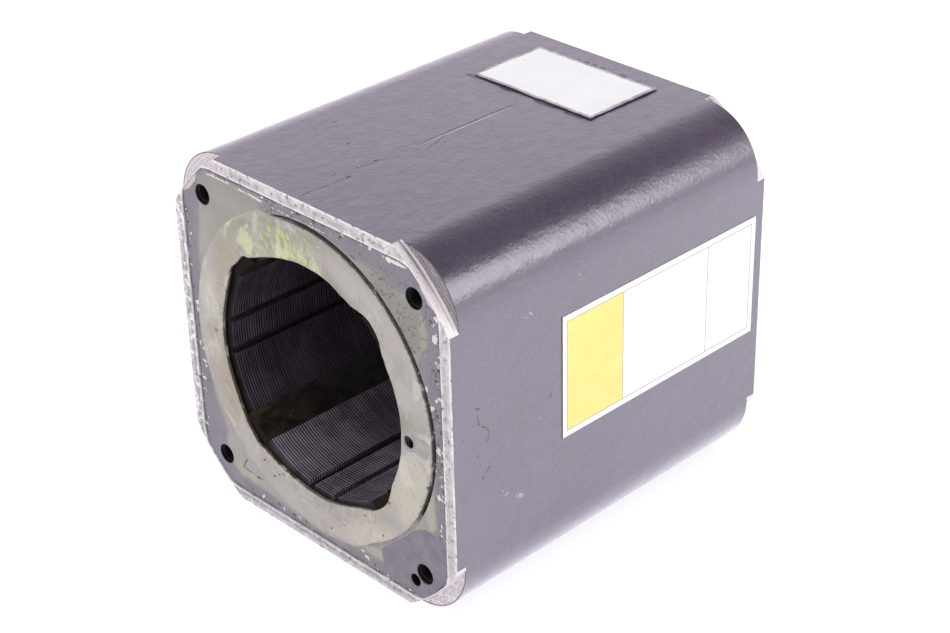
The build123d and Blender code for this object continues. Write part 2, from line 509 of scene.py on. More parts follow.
def bareRim():
    # Sanded steel with cream residue, paint left in patches
    newFinish("bareRim")
    x, _, z = axes()
    cloud = grain(7, 5, 0.6)
    fine = grain(0.8, 4, 0.7)
    color = blend(between(cloud, 0.3, 0.7), (0.46, 0.43, 0.41), (0.62, 0.585, 0.555))
    pinkSide = between(x, -30 * mm, 5 * mm, 0.75, 0.2)
    color = blend(pinkSide, color, (0.56, 0.5, 0.53))
    far = anyOf(abs(x), abs(z))
    torn = grain(3.5, 5, 0.65) - 0.5
    # Paint still holds on the left and lower rims, away from the outer edge
    lowLeft = anyOf(fading(x, -74 * mm, -72 * mm), fading(z, -74 * mm, -72 * mm))
    held = fading(far + 5 * mm * torn, 74.6 * mm, 75.2 * mm)
    color = blend(0.8 * (held * lowLeft), color, (0.3, 0.275, 0.315))
    # Painted highlight along the rim's outer chamfer
    chamferHighlight = between(far + 0.8 * mm * torn, 76.6 * mm, 77.0 * mm)
    color = blend(0.7 * chamferHighlight, color, (0.78, 0.75, 0.74))
    band = fading(abs(far + 2.4 * mm * torn - 74.6 * mm), 0.5 * mm, 1.3 * mm)
    band = band * between(grain(9, 4, 0.6, offset=0.55), 0.4, 0.6)
    color = blend(0.6 * band, color, (0.3, 0.275, 0.295))
    inner = fading(far + 1.6 * mm * torn, 72.9 * mm, 73.2 * mm)
    color = blend(0.75 * inner, color, (0.8, 0.78, 0.77))
    lines = grain(1.6, 3, 0.6, stretch=(4.0, 1.0, 0.12))
    right = between(x, 70 * mm, 72 * mm)
    lineShare = between(lines, 0.52, 0.66) * right
    color = blend(0.5 * lineShare, color, (0.3, 0.275, 0.3))
    color = blend(between(fine, 0.5, 0.75, 0.0, 0.35), color, (0.28, 0.26, 0.27))
    flakes = between(grain(2.6, 5, 0.7, offset=0.6), 0.5, 0.58)
    flakes = flakes * between(x, -70 * mm, -60 * mm, 0.85, 0.25)
    color = blend(flakes, color, (0.86, 0.85, 0.86))
    dirt = between(grain(1.8, 5, 0.7, offset=0.4), 0.57, 0.65)
    color = blend(0.85 * dirt, color, (0.12, 0.105, 0.12))
    metal = between(grain(4, 3, offset=0.8), 0.4, 0.65, 0.1, 0.5)
    roughness = between(cloud, 0.2, 0.8, 0.38, 0.6)
    normal = emboss(fine, 0.06)
    normal = emboss(1 - dirt, 0.12, normal)
    normal = emboss(cloud, 0.15, normal)
    return finished(color, roughness, normal, metal)


def turnedSteel():
    # Turned corners: pale worn wall, brushed darker towards a bright line, grey lathe-marked ledge
    newFinish("turnedSteel", metallic=0.12)
    x, y, z = axes()
    toEnd = fromEnds(y, sleeveFront, sleeveRear)
    radius = distance(x, z)
    steps = 1 / mm * radius + 1 / mm * toEnd
    wander = 0.5 * grain(9, 2)
    lathe = put("ShaderNodeTexNoise", {"W": steps + wander, "Scale": 2.8, "Detail": 3.0, "Roughness": 0.7}, "Fac",
                noise_dimensions="1D")
    cloud = grain(5, 5, 0.6)
    torn = 3.0 * mm * (cloud - 0.5)
    pale = blend(between(lathe, 0.35, 0.65), (0.5, 0.43, 0.45), (0.95, 0.875, 0.9))
    brushed = blend(between(lathe, 0.45, 0.62), (0.08, 0.068, 0.076), (0.74, 0.67, 0.69))
    deeper = between(toEnd + torn, 1.9 * mm, 3.0 * mm)
    upper = between(z - 0.25 * x, 40 * mm, 58 * mm)
    color = blend(deeper * (0.85 * upper), pale, brushed)
    onLedge = between(radius, 92.62 * mm, 92.7 * mm)
    ledge = blend(between(lathe, 0.47, 0.66), (0.1, 0.087, 0.1), (0.66, 0.6, 0.63))
    ledge = blend(between(x, 20 * mm, 50 * mm, 0.85, 0.0), ledge, pale)
    ledge = blend(between(z, -50 * mm, -20 * mm, 0.75, 0.0), ledge, pale)
    color = blend(onLedge, color, ledge)
    blotch = between(grain(2.4, 4, 0.65, 0.6, offset=0.9), 0.48, 0.62)
    color = blend(blotch * between(z, -20 * mm, 30 * mm, 0.7, 0.15), color, (0.86, 0.8, 0.82))
    scuff = between(grain(1.3, 4, 0.7, 0.6, offset=0.3), 0.58, 0.66)
    color = blend(0.6 * scuff, color, (0.22, 0.19, 0.21))
    cornerX = abs(x) - 51.5 * mm
    cornerZ = abs(z) - 51.5 * mm
    outward = distance(cornerX, cornerZ)
    # Painted shade: a dark line along the ledge's outer edge, where it meets the rounded corner
    ledgeEdgeShade = between(outward + 0.1 * torn, 25.45 * mm, 25.6 * mm)
    color = blend(0.85 * (ledgeEdgeShade * onLedge), color, (0.05, 0.042, 0.05))
    lineDepth = abs(toEnd - 4.45 * mm)
    bright = fading(lineDepth, 0.2 * mm, 0.32 * mm) * (1 - onLedge)
    color = blend(bright, color, (0.85, 0.8, 0.81))
    dirt = between(grain(1.6, 5, 0.7, offset=0.4), 0.62, 0.7)
    color = blend(0.7 * dirt, color, (0.16, 0.14, 0.15))
    roughness = between(lathe, 0.3, 0.7, 0.32, 0.5)
    normal = emboss(lathe, 0.06)
    normal = emboss(cloud, 0.06, normal)
    return finished(color, roughness, normal)


def plateFilm():
    # Grey-cream resin film over steel, purple-grey paint outside it, dirt, chips and scratches
    newFinish("plateFilm", specular=0.45)
    x, _, z = axes()
    cloud = grain(16, 5, 0.6)
    fine = grain(1.0, 4, 0.65)
    ragged = grain(4, 6, 0.7)
    tiny = grain(1.3, 4, 0.6, offset=0.4)
    film = blend(between(cloud, 0.3, 0.7), (0.26, 0.247, 0.222), (0.35, 0.33, 0.3))
    film = blend(0.85 * within("pinkArea", ragged, 5, 3), film, (0.385, 0.345, 0.325))
    film = blend(0.85 * within("creamArea", ragged, 3, 0.8), film, (0.41, 0.385, 0.315))
    paint = blend(between(cloud, 0.35, 0.65), (0.19, 0.168, 0.205), (0.26, 0.23, 0.28))
    inFilm = field("filmEdge") + 3.2 * (ragged - 0.5)
    color = blend(between(inFilm, -1.6, 1.6), paint, film)
    lip = fading(abs(inFilm), 0.1, 0.5)
    lip = lip * between(grain(7, 3, offset=0.5), 0.5, 0.65)
    color = blend(0.5 * lip, color, (0.12, 0.11, 0.125))
    color = blend(between(fine, 0.45, 0.8, 0.0, 0.35), color, (0.17, 0.16, 0.165))
    # Dirt gathered by the upper right hole, specks everywhere
    smudge = within("dirtArea", ragged, 6, 3)
    color = blend(smudge * between(cloud, 0.3, 0.7, 0.15, 0.5), color, (0.15, 0.145, 0.135))
    dirt = between(tiny, 0.56, 0.66) * smudge
    color = blend(0.75 * dirt, color, (0.07, 0.062, 0.062))
    flecks = between(grain(0.9, 3, 0.6, offset=0.7), 0.7, 0.76)
    flecks = flecks * between(grain(13, 3, offset=0.1), 0.46, 0.58)
    # Dark pits and creases; the dark lines along the putty's edge are painted shadow of its thickness
    dark = anyOf(flecks, within("darkMarks", tiny, 0.35, 0.12))
    color = blend(0.88 * dark, color, (0.035, 0.03, 0.035))
    # Dark seam beside the rim, chips and bright scratches
    far = anyOf(abs(x), abs(z))
    wave = 1.2 * mm * (cloud - 0.5)
    seam = between(far + wave, 71.1 * mm, 71.6 * mm)
    seam = seam * between(grain(5, 4, 0.6, offset=0.25), 0.38, 0.5)
    color = blend(0.75 * seam, color, (0.07, 0.06, 0.07))
    bare = anyOf(within("brightMarks", tiny, 0.9, 0.12), 0.75 * within("wornArea", ragged, 1.5, 0.3))
    color = blend(bare, color, (0.74, 0.7, 0.7))
    roughness = between(cloud, 0.3, 0.7, 0.42, 0.6)
    roughness = roughness - 0.12 * bare
    normal = emboss(fine, 0.07)
    normal = emboss(between(inFilm, -0.4, 0.4), 0.1, normal)
    normal = emboss(bare - anyOf(dark, dirt), 0.14, normal)
    return finished(color, roughness, normal)


def pottingResin(name, smeared):
    # Potting compound, mottled cream and grey; the front ring has a green-yellow smear
    newFinish(name, specular=0.4)
    plug(shader.inputs["Subsurface Weight"], 0.06)
    plug(shader.inputs["Subsurface Scale"], 0.5 * mm)
    x, y, z = axes()
    cloud = grain(14, 5, 0.6, 0.5)
    fine = grain(1.4, 4, 0.6)
    color = blend(between(cloud, 0.32, 0.68), (0.375, 0.34, 0.315), (0.45, 0.41, 0.385))
    ragged = grain(6, 6, 0.68, 0.8)
    tiny = grain(1.5, 4, 0.6, offset=0.4)
    if smeared:
        for areaName, share, tone in ringMarks["tones"]:
            area = within(areaName, ragged, 5, 3.5)
            color = blend(area * share, color, tone)
        streaks = grain(4.5, 3, 0.5, 1.6, stretch=(1.0, 1.0, 0.5))
        smooth = grain(5, 2, 0.5, 1.2, offset=0.15)
        smearColor = blend(between(streaks, 0.38, 0.6), (0.3, 0.32, 0.17), (0.56, 0.56, 0.26))
        smearColor = blend(between(streaks, 0.62, 0.72), smearColor, (0.6, 0.6, 0.46))
        color = blend(0.85 * within("smears", smooth, 9, 1.6), color, smearColor)
        pale = within("paleSmears", smooth, 6, 1.4)
        color = blend(0.8 * pale, color, (0.6, 0.6, 0.38))
    grey = between(grain(8, 4, 0.6, 0.6, offset=0.35), 0.52, 0.72, 0.0, 0.4)
    color = blend(grey, color, (0.3, 0.285, 0.26))
    color = blend(between(fine, 0.55, 0.8, 0.0, 0.35), color, (0.24, 0.215, 0.18))
    # The wall of the opening is stained olive and brown, darkest at the lower left
    torn = 1.2 * mm * (fine - 0.5)
    radius = distance(x, z)
    below = between(y + torn, -1.1 * mm, -0.5 * mm)
    inside = below * fading(radius, 58.5 * mm, 60 * mm)
    # Painted shade on the ring's outer wall along its right side, where it faces the groove
    groove = below * between(x, -14 * mm, 0, 0.0, 0.9)
    groove = groove * between(radius, 65 * mm, 66 * mm)
    groove = groove * between(z, -48 * mm, -25 * mm)
    left = fading(x, -25 * mm, -5 * mm)
    wall = blend(left, (0.17, 0.155, 0.115), (0.07, 0.058, 0.05))
    lowLeft = fading(x + z, -66 * mm, -52 * mm)
    wall = blend(lowLeft, wall, (0.045, 0.027, 0.01))
    if smeared:
        color = blend(0.9 * inside, color, wall)
        color = blend(groove, color, (0.06, 0.053, 0.05))
    flecks = between(grain(1.0, 2, 0.5, offset=0.65), 0.75, 0.79)
    color = blend(0.85 * flecks, color, (0.05, 0.045, 0.04))
    if smeared:
        pits = within("pits", tiny, 0.3, 0.15)
        dirt = within("dirtAreas", ragged, 3, 2) * between(tiny, 0.57, 0.68)
        color = blend(anyOf(pits, 0.5 * dirt), color, (0.06, 0.052, 0.045))
    roughness = between(cloud, 0.3, 0.7, 0.4, 0.58)
    folds = grain(8, 3, 0.5, 1.4, stretch=(1.0, 1.0, 0.55))
    color = blend(between(folds, 0.56, 0.7, 0.0, 0.45), color, (0.66, 0.63, 0.56))
    normal = emboss(fine, 0.07)
    normal = emboss(grain(4.5, 3, 0.5, 0.8), 0.3, normal)
    normal = emboss(folds, 0.7, normal)
    return finished(color, roughness, normal)


def laminatedSteel(name, tone, depth):
    # Sheet edges are dusty steel; the gaps between them are nearly black
    newFinish(name, metallic=0.3 * (1 - depth), specular=0.3 - 0.22 * depth)
    cloud = grain(14, 4, 0.6)
    fine = grain(0.7, 4, 0.7, stretch=(1.0, 0.3, 1.0))
    edges, gaps = ((0.1, 0.078, 0.105), (0.16, 0.128, 0.168)), ((0.012, 0.01, 0.012), (0.028, 0.024, 0.028))
    # tone scales both colours: light and shade painted for each pole
    dark, light = ([c * tone for c in pair] for pair in (gaps if depth else edges))
    color = blend(between(cloud, 0.35, 0.65), dark, light)
    color = blend(between(fine, 0.5, 0.8, 0.0, 0.4), color, [min(1.0, 1.6 * c) for c in light])
    dust = between(grain(0.8, 2, 0.5, offset=0.3), 0.77, 0.8)
    color = blend(0.8 * dust, color, (0.5, 0.47, 0.45))
    roughness = between(cloud, 0.3, 0.7, 0.42, 0.6)
    return finished(color, roughness, emboss(fine, 0.03))


def interpoleResin():
    # Brown-black run resin, dusty; lighter and amber towards the front of the lower bars, painted light that fades
    # into the bore
    newFinish("interpoleResin", specular=0.3)
    _, y, z = axes()
    cloud = grain(6, 5, 0.6, 0.7, stretch=(1.0, 0.4, 1.0))
    color = blend(between(cloud, 0.35, 0.7), (0.006, 0.0045, 0.0045), (0.019, 0.014, 0.01))
    # Painted light: amber on the lower bars near the mouth, darker deeper in the bore and on the upper bars
    litAmber = between(y, 3 * mm, 45 * mm, 1.0, 0.15) * between(cloud, 0.48, 0.66)
    litAmber = litAmber * between(z, -10 * mm, 0, 1.0, 0.1)
    color = blend(0.75 * litAmber, color, (0.045, 0.028, 0.014))
    dust = between(grain(0.9, 2, 0.5, offset=0.3), 0.72, 0.77)
    color = blend(0.8 * dust, color, (0.34, 0.3, 0.22))
    roughness = between(cloud, 0.3, 0.7, 0.4, 0.6)
    normal = emboss(cloud, 0.5)
    return finished(color, roughness, normal)


def plainStained(name, dark, light, rough, size=6.0, depth=0.06, metallic=0.0, specular=0.5):
    newFinish(name, metallic=metallic, specular=specular)
    cloud = grain(size, 5, 0.6)
    fine = grain(0.9, 3, 0.6)
    color = blend(between(cloud, 0.3, 0.7), dark, light)
    color = blend(between(fine, 0.55, 0.8, 0.0, 0.4), color, [0.6 * c for c in dark])
    roughness = between(cloud, 0.3, 0.7, rough - 0.07, rough + 0.09)
    normal = emboss(fine, depth)
    normal = emboss(cloud, depth * 2, normal)
    return finished(color, roughness, normal)


def foilPlate():
    # Blank foil: white middle, bare metal border scuffed grey
    newFinish("foilPlate", coat=0.2)
    low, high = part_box("nameplate")
    x, y, _ = axes()
    inset = calc("MINIMUM", fromEnds(x, low.x, high.x), fromEnds(y, low.y, high.y))
    torn = 1.6 * mm * (grain(3, 5, 0.65) - 0.5)
    border = fading(inset + torn, 1.5 * mm, 1.9 * mm)
    cloud = grain(4, 4, 0.6)
    white = blend(between(grain(12, 3), 0.35, 0.7), (0.9, 0.9, 0.92), (0.94, 0.94, 0.95))
    metal = blend(between(cloud, 0.35, 0.65), (0.3, 0.285, 0.31), (0.62, 0.6, 0.62))
    color = blend(border, white, metal)
    outer = fading(inset + 0.5 * torn, 0.2 * mm, 0.5 * mm)
    color = blend(0.6 * outer, color, (0.13, 0.12, 0.14))
    roughness = between(cloud, 0.3, 0.7, 0.25, 0.4)
    normal = emboss(grain(9, 3), 0.12)
    normal = emboss(cloud, 0.03, normal)
    return finished(color, roughness, normal, 0.7 * border)


def labelVinyl():
    # Blank label: white border, yellow panel, white panels between thin rules
    newFinish("labelVinyl", coat=0.3, coatRoughness=0.12)
    low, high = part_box("side_label")
    _, y, z = axes()
    toFront = y - low.y
    inset = calc("MINIMUM", fromEnds(z, low.z, high.z), fromEnds(y, low.y, high.y))
    rule = labelMarks["ruleWidth"] / 2 * mm
    edge = labelMarks["border"] * mm
    insideFrame = between(inset, edge - rule, edge)
    rules = fading(abs(inset - edge), rule * 0.8, rule * 1.2)
    for place in (labelMarks["yellowEnd"], labelMarks["lastRule"]):
        rules = anyOf(rules, fading(abs(toFront - place * mm), rule * 0.8, rule * 1.2) * insideFrame)
    yellowEnd = labelMarks["yellowEnd"] * mm
    yellow = fading(toFront, yellowEnd - 0.05 * mm, yellowEnd + 0.05 * mm) * insideFrame
    cloud = grain(8, 4, 0.6)
    white = blend(between(cloud, 0.3, 0.7), (0.8, 0.8, 0.82), (0.86, 0.86, 0.87))
    yellowInk = blend(between(cloud, 0.3, 0.7), (0.86, 0.64, 0.16), (0.88, 0.68, 0.21))
    color = blend(yellow, white, yellowInk)
    color = blend(0.9 * rules, color, (0.18, 0.165, 0.2))
    scuffs = between(grain(1.6, 4, 0.6, offset=0.4), 0.66, 0.72)
    scuffZone = between(inset, 0.2 * mm, 2.5 * mm, 0.7, 0.1)
    color = blend(scuffs * scuffZone, color, (0.5, 0.49, 0.51))
    worn = fading(toFront + 0.2 * mm * cloud, 0.35 * mm, 0.5 * mm)
    color = blend(0.85 * worn, color, (0.13, 0.05, 0.06))
    roughness = between(cloud, 0.3, 0.7, 0.3, 0.42)
    normal = emboss(grain(7, 3), 0.05)
    return finished(color, roughness, normal)


# Housing sleeve: extruded rounded square, corners turned to a circle at both ends

housing = {
    "cornerRadius": 26,
    "wall": 5,
    "turnedRadius": 92.5,
    "turnedDepth": 4.7,
    "chamfer": 0.4,
    "flatSteps": 84,
    "cornerSteps": 40,
    "crescent": 0.06,
    "rimChip": 0.16,
}

housingMarks = {
    "scribes": [((-3.1, 56.5), (-2.4, 118), 0.9), ((-3.4, 56.6), (2.8, 58.8), 0.6), ((2.9, 58.6), (-1.7, 76), 0.65)],
    "scribeRidges": [((-2, 58), (-1.3, 118), 0.9)],
    "splits": [((-1.9, 0.2), (-2.4, 9.5), 0.7), ((-2.4, 9), (-1, 16), 0.6), ((-1.1, 15.5), (-1, 23.5), 0.7),
        ((-4, 24), (-1.5, 31), 0.6), ((-5.2, 30), (-3.4, 38), 0.5), ((-3.9, 39), (-2, 47), 0.4)],
    "topSpecks": [((-1, 23.9), (1.1, 1.7), 15), ((-4.6, 31.8), (0.8, 1.2), 10), ((-3.9, 40.7), (0.9, 1.5), 20),
        ((-23.2, 43.3), (0.6, 1.4), 0), ((-41.8, 53.4), (0.6, 1.6), 0), ((-6.5, 22), (0.5, 2), 10)],
    "residue": [((-14, 162.3), (1.2, 1.3), 0), ((-9.5, 162.6), (1.4, 1.5), 0), ((-5, 162.5), (1.3, 1.4), 0),
        ((-0.5, 162.4), (1.6, 1.2), 0), ((10.5, 162.7), (2.2, 1.2), 0), ((19, 162.2), (1.4, 0.8), 0),
        ((-33, 120.9), (5, 1), 0), ((-15, 121), (3, 1.2), 0), ((6, 121.2), (6, 1.2), 0), ((22, 121), (5, 1), 0)],
    "sideScratches": [((9.9, 17.3), (13.8, 15.5), 0.5), ((11.2, 14.2), (13.2, 8), 0.4),
        ((13.2, 8.4), (16.5, 6.5), 0.4), ((16.4, 6.8), (17.6, 2.6), 0.4), ((17.6, 2.6), (15.8, 0), 0.4),
        ((18.2, -9.8), (15, -13.2), 0.5), ((13.5, -13), (14.6, -15.6), 0.4), ((48.9, 5.2), (50.2, 4.6), 1.1),
        ((0.4, 19.3), (0.7, 18.9), 0.9), ((4.2, 6.5), (4.8, 6), 0.6), ((11.5, -3), (11.9, -4.2), 0.5)],
    "sideScuffs": [((22, -24.5), (27.5, -27.5), 3.5), ((30, -30), (36, -33), 3.5), ((36.5, 45.5), (38.5, 41), 1.6),
        ((39, 46), (40.5, 42), 1.2), ((64, 50.5), (66, 49), 1.4), ((43, -1), (45, -3.5), 1.2)],
}

sleeveLow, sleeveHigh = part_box("housing_sleeve")
sleeveFront, sleeveRear = sleeveLow.y, sleeveHigh.y
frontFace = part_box("front_end_plate")[0].y / mm


def endFace(atRear):
    # Where an end plate's face lies (y in mm) and the sign of y going inward from it
    return (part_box("rear_end_plate")[1].y / mm, -1) if atRear else (frontFace, 1)


def sleeveOutline(offset):
    # Points round the sleeve at an offset inward from its outside, as (x, z) in mm
    half = sleeveHigh.x / mm - offset
    radius = housing["cornerRadius"] - offset
    centre = half - radius
    tip = math.sqrt(housing["turnedRadius"] ** 2 - (sleeveHigh.x / mm) ** 2)
    points = []
    for side in range(4):
        turn = Matrix.Rotation(math.radians(90 * side), 2)
        for i in range(housing["flatSteps"] + 1):
            along = -tip + 2 * tip * i / housing["flatSteps"]
            points.append(turn @ Vector((half, along)))
        for i in range(housing["cornerSteps"] + 1):
            angle = math.radians(90 * i / housing["cornerSteps"])
            points.append(turn @ Vector((centre + radius * math.cos(angle), centre + radius * math.sin(angle))))
    return points


def clipped(points, limit):
    return [p * (limit / p.length) if p.length > limit else p for p in points]


def endCaps(ringCount, pointCount):
    first = range(pointCount)
    return [tuple(reversed(first)), tuple((ringCount - 1) * pointCount + i for i in first)]


def sleeveRings():
    # (y from the end in mm, offset inward, turned or not) from the inner wall over the rim to the outside
    wall, chamfer, depth = housing["wall"], housing["chamfer"], housing["turnedDepth"]
    rings = [(depth + 0.1, wall, False), (depth, wall, True), (1.5, wall, True), (0.0, wall, True)]
    for offset in (4.7, 4.2, 3.4, 2.6, 1.8, 1.1, 0.7, chamfer):
        rings.append((0.0, offset, True))
    for deep, offset in ((0.12, 0.22), (0.25, 0.09), (chamfer, 0.0)):
        rings.append((deep, offset, True))
    for deep in (0.7, 1.1, 1.6, 2.2, 3.0, 3.8, depth):
        rings.append((deep, 0.0, True))
    for deep in (depth, depth + 0.4, 6.0, 8.0, 12.0, 20.0, 40.0, 60.0):
        rings.append((deep, 0.0, False))
    return rings


def makeSleeve(paint, rim, turned):
    front, length = sleeveFront / mm, (sleeveRear - sleeveFront) / mm
    rings = [(deep, offset, cut, False) for deep, offset, cut in sleeveRings()]
    rings += [(deep, offset, cut, True) for deep, offset, cut in reversed(sleeveRings())]
    points = []
    for deep, offset, cut, atRear in rings:
        outline = sleeveOutline(offset)
        if cut:
            outline = clipped(outline, housing["turnedRadius"] - housing["crescent"] * offset)
        for p in outline:
            place = Vector((p.x, front + deep if not atRear else front + length - deep, p.y))
            onRim = deep <= 0.5
            if onRim and offset < 4.9:
                # Small chips and dings along the rim, always inward
                chip = max(0.0, ripple(place, 3.1, 5) - 0.25) * 1.6 + 0.5 * max(0.0, ripple(place, 1.2, 9) - 0.2)
                edge = smoothStep(1.2 - offset, 0.0, 1.2)
                sink = housing["rimChip"] * (0.15 + edge) * chip
                place.y += -sink if atRear else sink
                if offset < 0.5:
                    place.x -= 0.5 * sink * p.x / p.length
                    place.z -= 0.5 * sink * p.y / p.length
            points.append(place)
    count = len(sleeveOutline(0))
    faces = ringFaces(len(rings), count)
    last = len(rings) - 1
    faces += [(last * count + i, last * count + (i + 1) % count, (i + 1) % count, i) for i in range(count)]
    slots = []
    for ring in range(last + 1):
        here, following = rings[ring], rings[(ring + 1) % len(rings)]
        shallow = max(here[0], following[0]) <= 0.5
        for i in range(count):
            p = points[ring * count + i]
            far = math.hypot(p.x, p.z)
            cutWall = here[2] and following[2] and far > housing["turnedRadius"] - 0.5 and here[1] < 0.5
            ledge = here[2] != following[2] and here[1] < 0.5
            slots.append(2 if cutWall or ledge else 1 if shallow or here[1] > 0.5 else 0)
    return finishMesh("housingShell", points, faces, [paint, rim, turned], slots, 30, 0.004)


paintFinish = housingPaint()
rimFinish = bareRim()
turnedFinish = turnedSteel()
seat(makeSleeve(paintFinish, rimFinish, turnedFinish), "housing_paint", "housing_sleeve")
print("housing sleeve ready")


# End plates: film-covered steel with threaded holes, meshed with the holes cut

plates = {
    "gap": 0.05,
    "spacing": 1,
    "threadRadius": 4,
    "holeChamfer": 0.35,
    "thickness": 9,
    "openingRadius": 68,
    "smallHole": (54.15, -64.85, 2.65),
    "filmHeight": 0.16,
}

plateMarks = {
    "filmEdge": [(-55, 70.6), (-38, 70.4), (-22, 70), (-20.8, 68.3), (-22, 66.6), (-17, 66.2), (-10, 67.6), (0, 67.9),
        (10, 67.2), (18, 65.6), (24, 64.2), (28, 63.9), (33, 63.6), (37, 64), (42, 61.8), (48, 59.7), (54, 59.4),
        (57, 56), (62, 55.6), (65, 53), (66.2, 48), (65.6, 42), (63, 37.8), (61, 33), (62.5, 27), (64.5, 20),
        (66, 12), (66.5, 0), (66.2, -10), (66.6, -18), (66.8, -30), (67, -36), (64, -38), (58, -42), (50, -48),
        (40, -58), (36.5, -66), (26, -66.4), (22, -66.8), (10, -69), (0, -69.9), (-10, -70.4), (-18, -69.4),
        (-25, -67.4), (-35, -66.6), (-45, -66.4), (-52, -65.5), (-57.5, -60), (-58.5, -52), (-57, -47), (-59, -42),
        (-62, -36), (-64, -30), (-65, -24), (-66, -10), (-66.6, 0), (-66.6, 12), (-66, 17), (-64.6, 20.4),
        (-66.6, 22.5), (-66, 28), (-65.4, 35), (-64, 42), (-63, 50), (-62.6, 55), (-64.5, 60), (-62, 66),
        (-58, 69.8)],
    "pinkArea": [((-55, -50), (16, 20), 45), ((-30, -64), (28, 6), 0), ((-61, 38), (4, 14), 0),
        ((-60, -20), (5, 22), 0)],
    "creamArea": [((31, -64), (5.5, 2.6), 5), ((64.5, -30), (3, 10), 0), ((-47, -63), (7, 2.5), 0),
        ((63, 47), (2.2, 7), 0)],
    "dirtArea": [((56, 46), (9, 11), -30), ((45, 57), (9, 5), -25), ((67, 56), (4, 7), 0),
        ((-67.5, -12), (2.5, 24), 0), ((69.5, -46), (3, 9), 0), ((69, 8), (3.5, 42), 0), ((40, 66.5), (26, 3), -12),
        ((-66, 62), (5, 6), 0), ((-22, 67), (7, 2), 0), ((0, 68.3), (18, 0.9), 0)],
    "wornArea": [((68.5, 63.5), (3.5, 8), 45), ((-68.5, 63.5), (3.5, 8), -45)],
    "pits": [((42.7, 61.1), (0.6, 0.5), 0), ((7, 71.2), (0.9, 1.1), 0), ((38, 61), (0.4, 0.4), 0),
        ((65.5, 15), (1, 0.5), 30), ((-73.3, -10.4), (1.3, 0.7), 10), ((-17.6, -69.8), (1, 0.7), -10),
        ((-67.2, -18.3), (1.3, 0.6), 15), ((71.3, -53), (0.7, 1.3), 0), ((-39.2, -61.8), (1.3, 0.7), 10),
        ((-36.8, -61.6), (0.8, 0.3), 0), ((70, -43.8), (1.4, 0.4), 10), ((68.2, -46.4), (0.5, 1.2), -20),
        ((57, -66.6), (0.9, 0.3), 30)],
    # Creases in the film, and lines along the putty's edge that are painted shadow
    "creases": [((-45.5, -55.8), (-47.6, -58.6), 0.7), ((-47.6, -58.4), (-48.4, -60.6), 0.7),
        ((-48.6, -60.9), (-40, -61.9), 0.5), ((-17.5, 66.2), (-16.4, 70.2), 0.6), ((-54, 71.3), (-30, 71.6), 0.5),
        ((-31, 71.9), (-12, 71.8), 0.5), ((26.5, 64.4), (29, 64.1), 0.5), ((35.3, -60.5), (39.3, -56.4), 0.7),
        ((39, -56.8), (45, -51.8), 0.7), ((45, -51.9), (50, -46.8), 0.7), ((50, -46.9), (57, -40.5), 0.8),
        ((57, -40.7), (62, -38.4), 0.8), ((62, -38.5), (68, -40.6), 0.7), ((35.2, -61), (36.6, -66.5), 0.5),
        ((70.8, -57.5), (64.5, -66.5), 0.6)],
    "scratches": [((-55.5, 69.8), (-41, 69.9), 0.75), ((-37.5, 69.6), (-30, 69.5), 0.7),
        ((-31, 69.5), (-22, 69.2), 0.8), ((-30, -73), (2, -72.7), 0.5), ((-8, -73.3), (4, -73), 1),
        ((33, -73.3), (40.5, -71.8), 0.7), ((40, -71.9), (43.5, -73.2), 0.7), ((-13, 68.6), (14, 68.4), 0.4)],
    "bits": [((50.5, 70.4), (5.5, 0.8), 0), ((47, 70.3), (1.6, 1), 0), ((69.6, 47.2), (1.3, 1.9), -10),
        ((-72.8, 43), (0.5, 2.2), 0), ((-68.8, 8.3), (2.2, 1), 10), ((-70, -27), (1.2, 0.8), 0),
        ((-68, -12.6), (1.6, 0.6), 20), ((-68.3, -18.6), (1.4, 0.7), 0), ((-67.6, -20.8), (0.8, 0.5), 0),
        ((-72.8, 29), (0.5, 3), 0), ((64.2, 24.2), (0.9, 1.2), 0), ((66.4, 17), (1.3, 0.9), 40),
        ((67.6, -9), (0.8, 0.6), 0), ((71.8, -60), (0.4, 2.6), 0), ((26, -68.4), (1.4, 0.8), 0),
        ((24, -66.6), (0.8, 0.5), 0)],
}


def scatterChips(seed, count):
    # Small chips strewn along the rim's inner edge, more of them on the right and the left
    draw = random.Random(seed)
    chips = []
    for _ in range(count):
        side = draw.choices((0, 1, 2, 3), (5, 2, 3, 2))[0]
        inset = 71.6 - abs(draw.gauss(0, 1.7))
        place = Matrix.Rotation(math.radians(90 * side), 2) @ Vector((inset, draw.uniform(-52, 56)))
        size = 0.25 + abs(draw.gauss(0, 0.35))
        chips.append(((place.x, place.y), (size * draw.uniform(0.6, 1.6), size * 0.7), draw.uniform(0, 180)))
    return chips


plateMarks["bits"] += scatterChips(5, 80)
plateMarks["pits"] += scatterChips(11, 110)


def circlePoints(x, z, radius, count):
    return [Vector((x + radius * math.cos(2 * math.pi * i / count), z + radius * math.sin(2 * math.pi * i / count)))
            for i in range(count)]


boltHalf = mountDims("front_bolts")["spacing_x_mm"] / 2


def plateHoles(hasSmallHole):
    radius = plates["threadRadius"] + plates["holeChamfer"]
    holes = [(sx * boltHalf, sz * boltHalf, radius) for sx in (-1, 1) for sz in (-1, 1)]
    if hasSmallHole:
        holes.append(plates["smallHole"])
    return holes


def insideLoop(point, loop):
    odd = False
    for i, a in enumerate(loop):
        b = loop[i - 1]
        if (a.y > point.y) != (b.y > point.y):
            if point.x < (b.x - a.x) * (point.y - a.y) / (b.y - a.y) + a.x:
                odd = not odd
    return odd


def clearOf(point, holes, margin=0.0):
    return all(math.hypot(point.x - x, point.y - z) > radius + margin for x, z, radius in holes)


def toHoles(point, holes):
    return min(abs(math.hypot(point.x - x, point.y - z) - radius) for x, z, radius in holes)


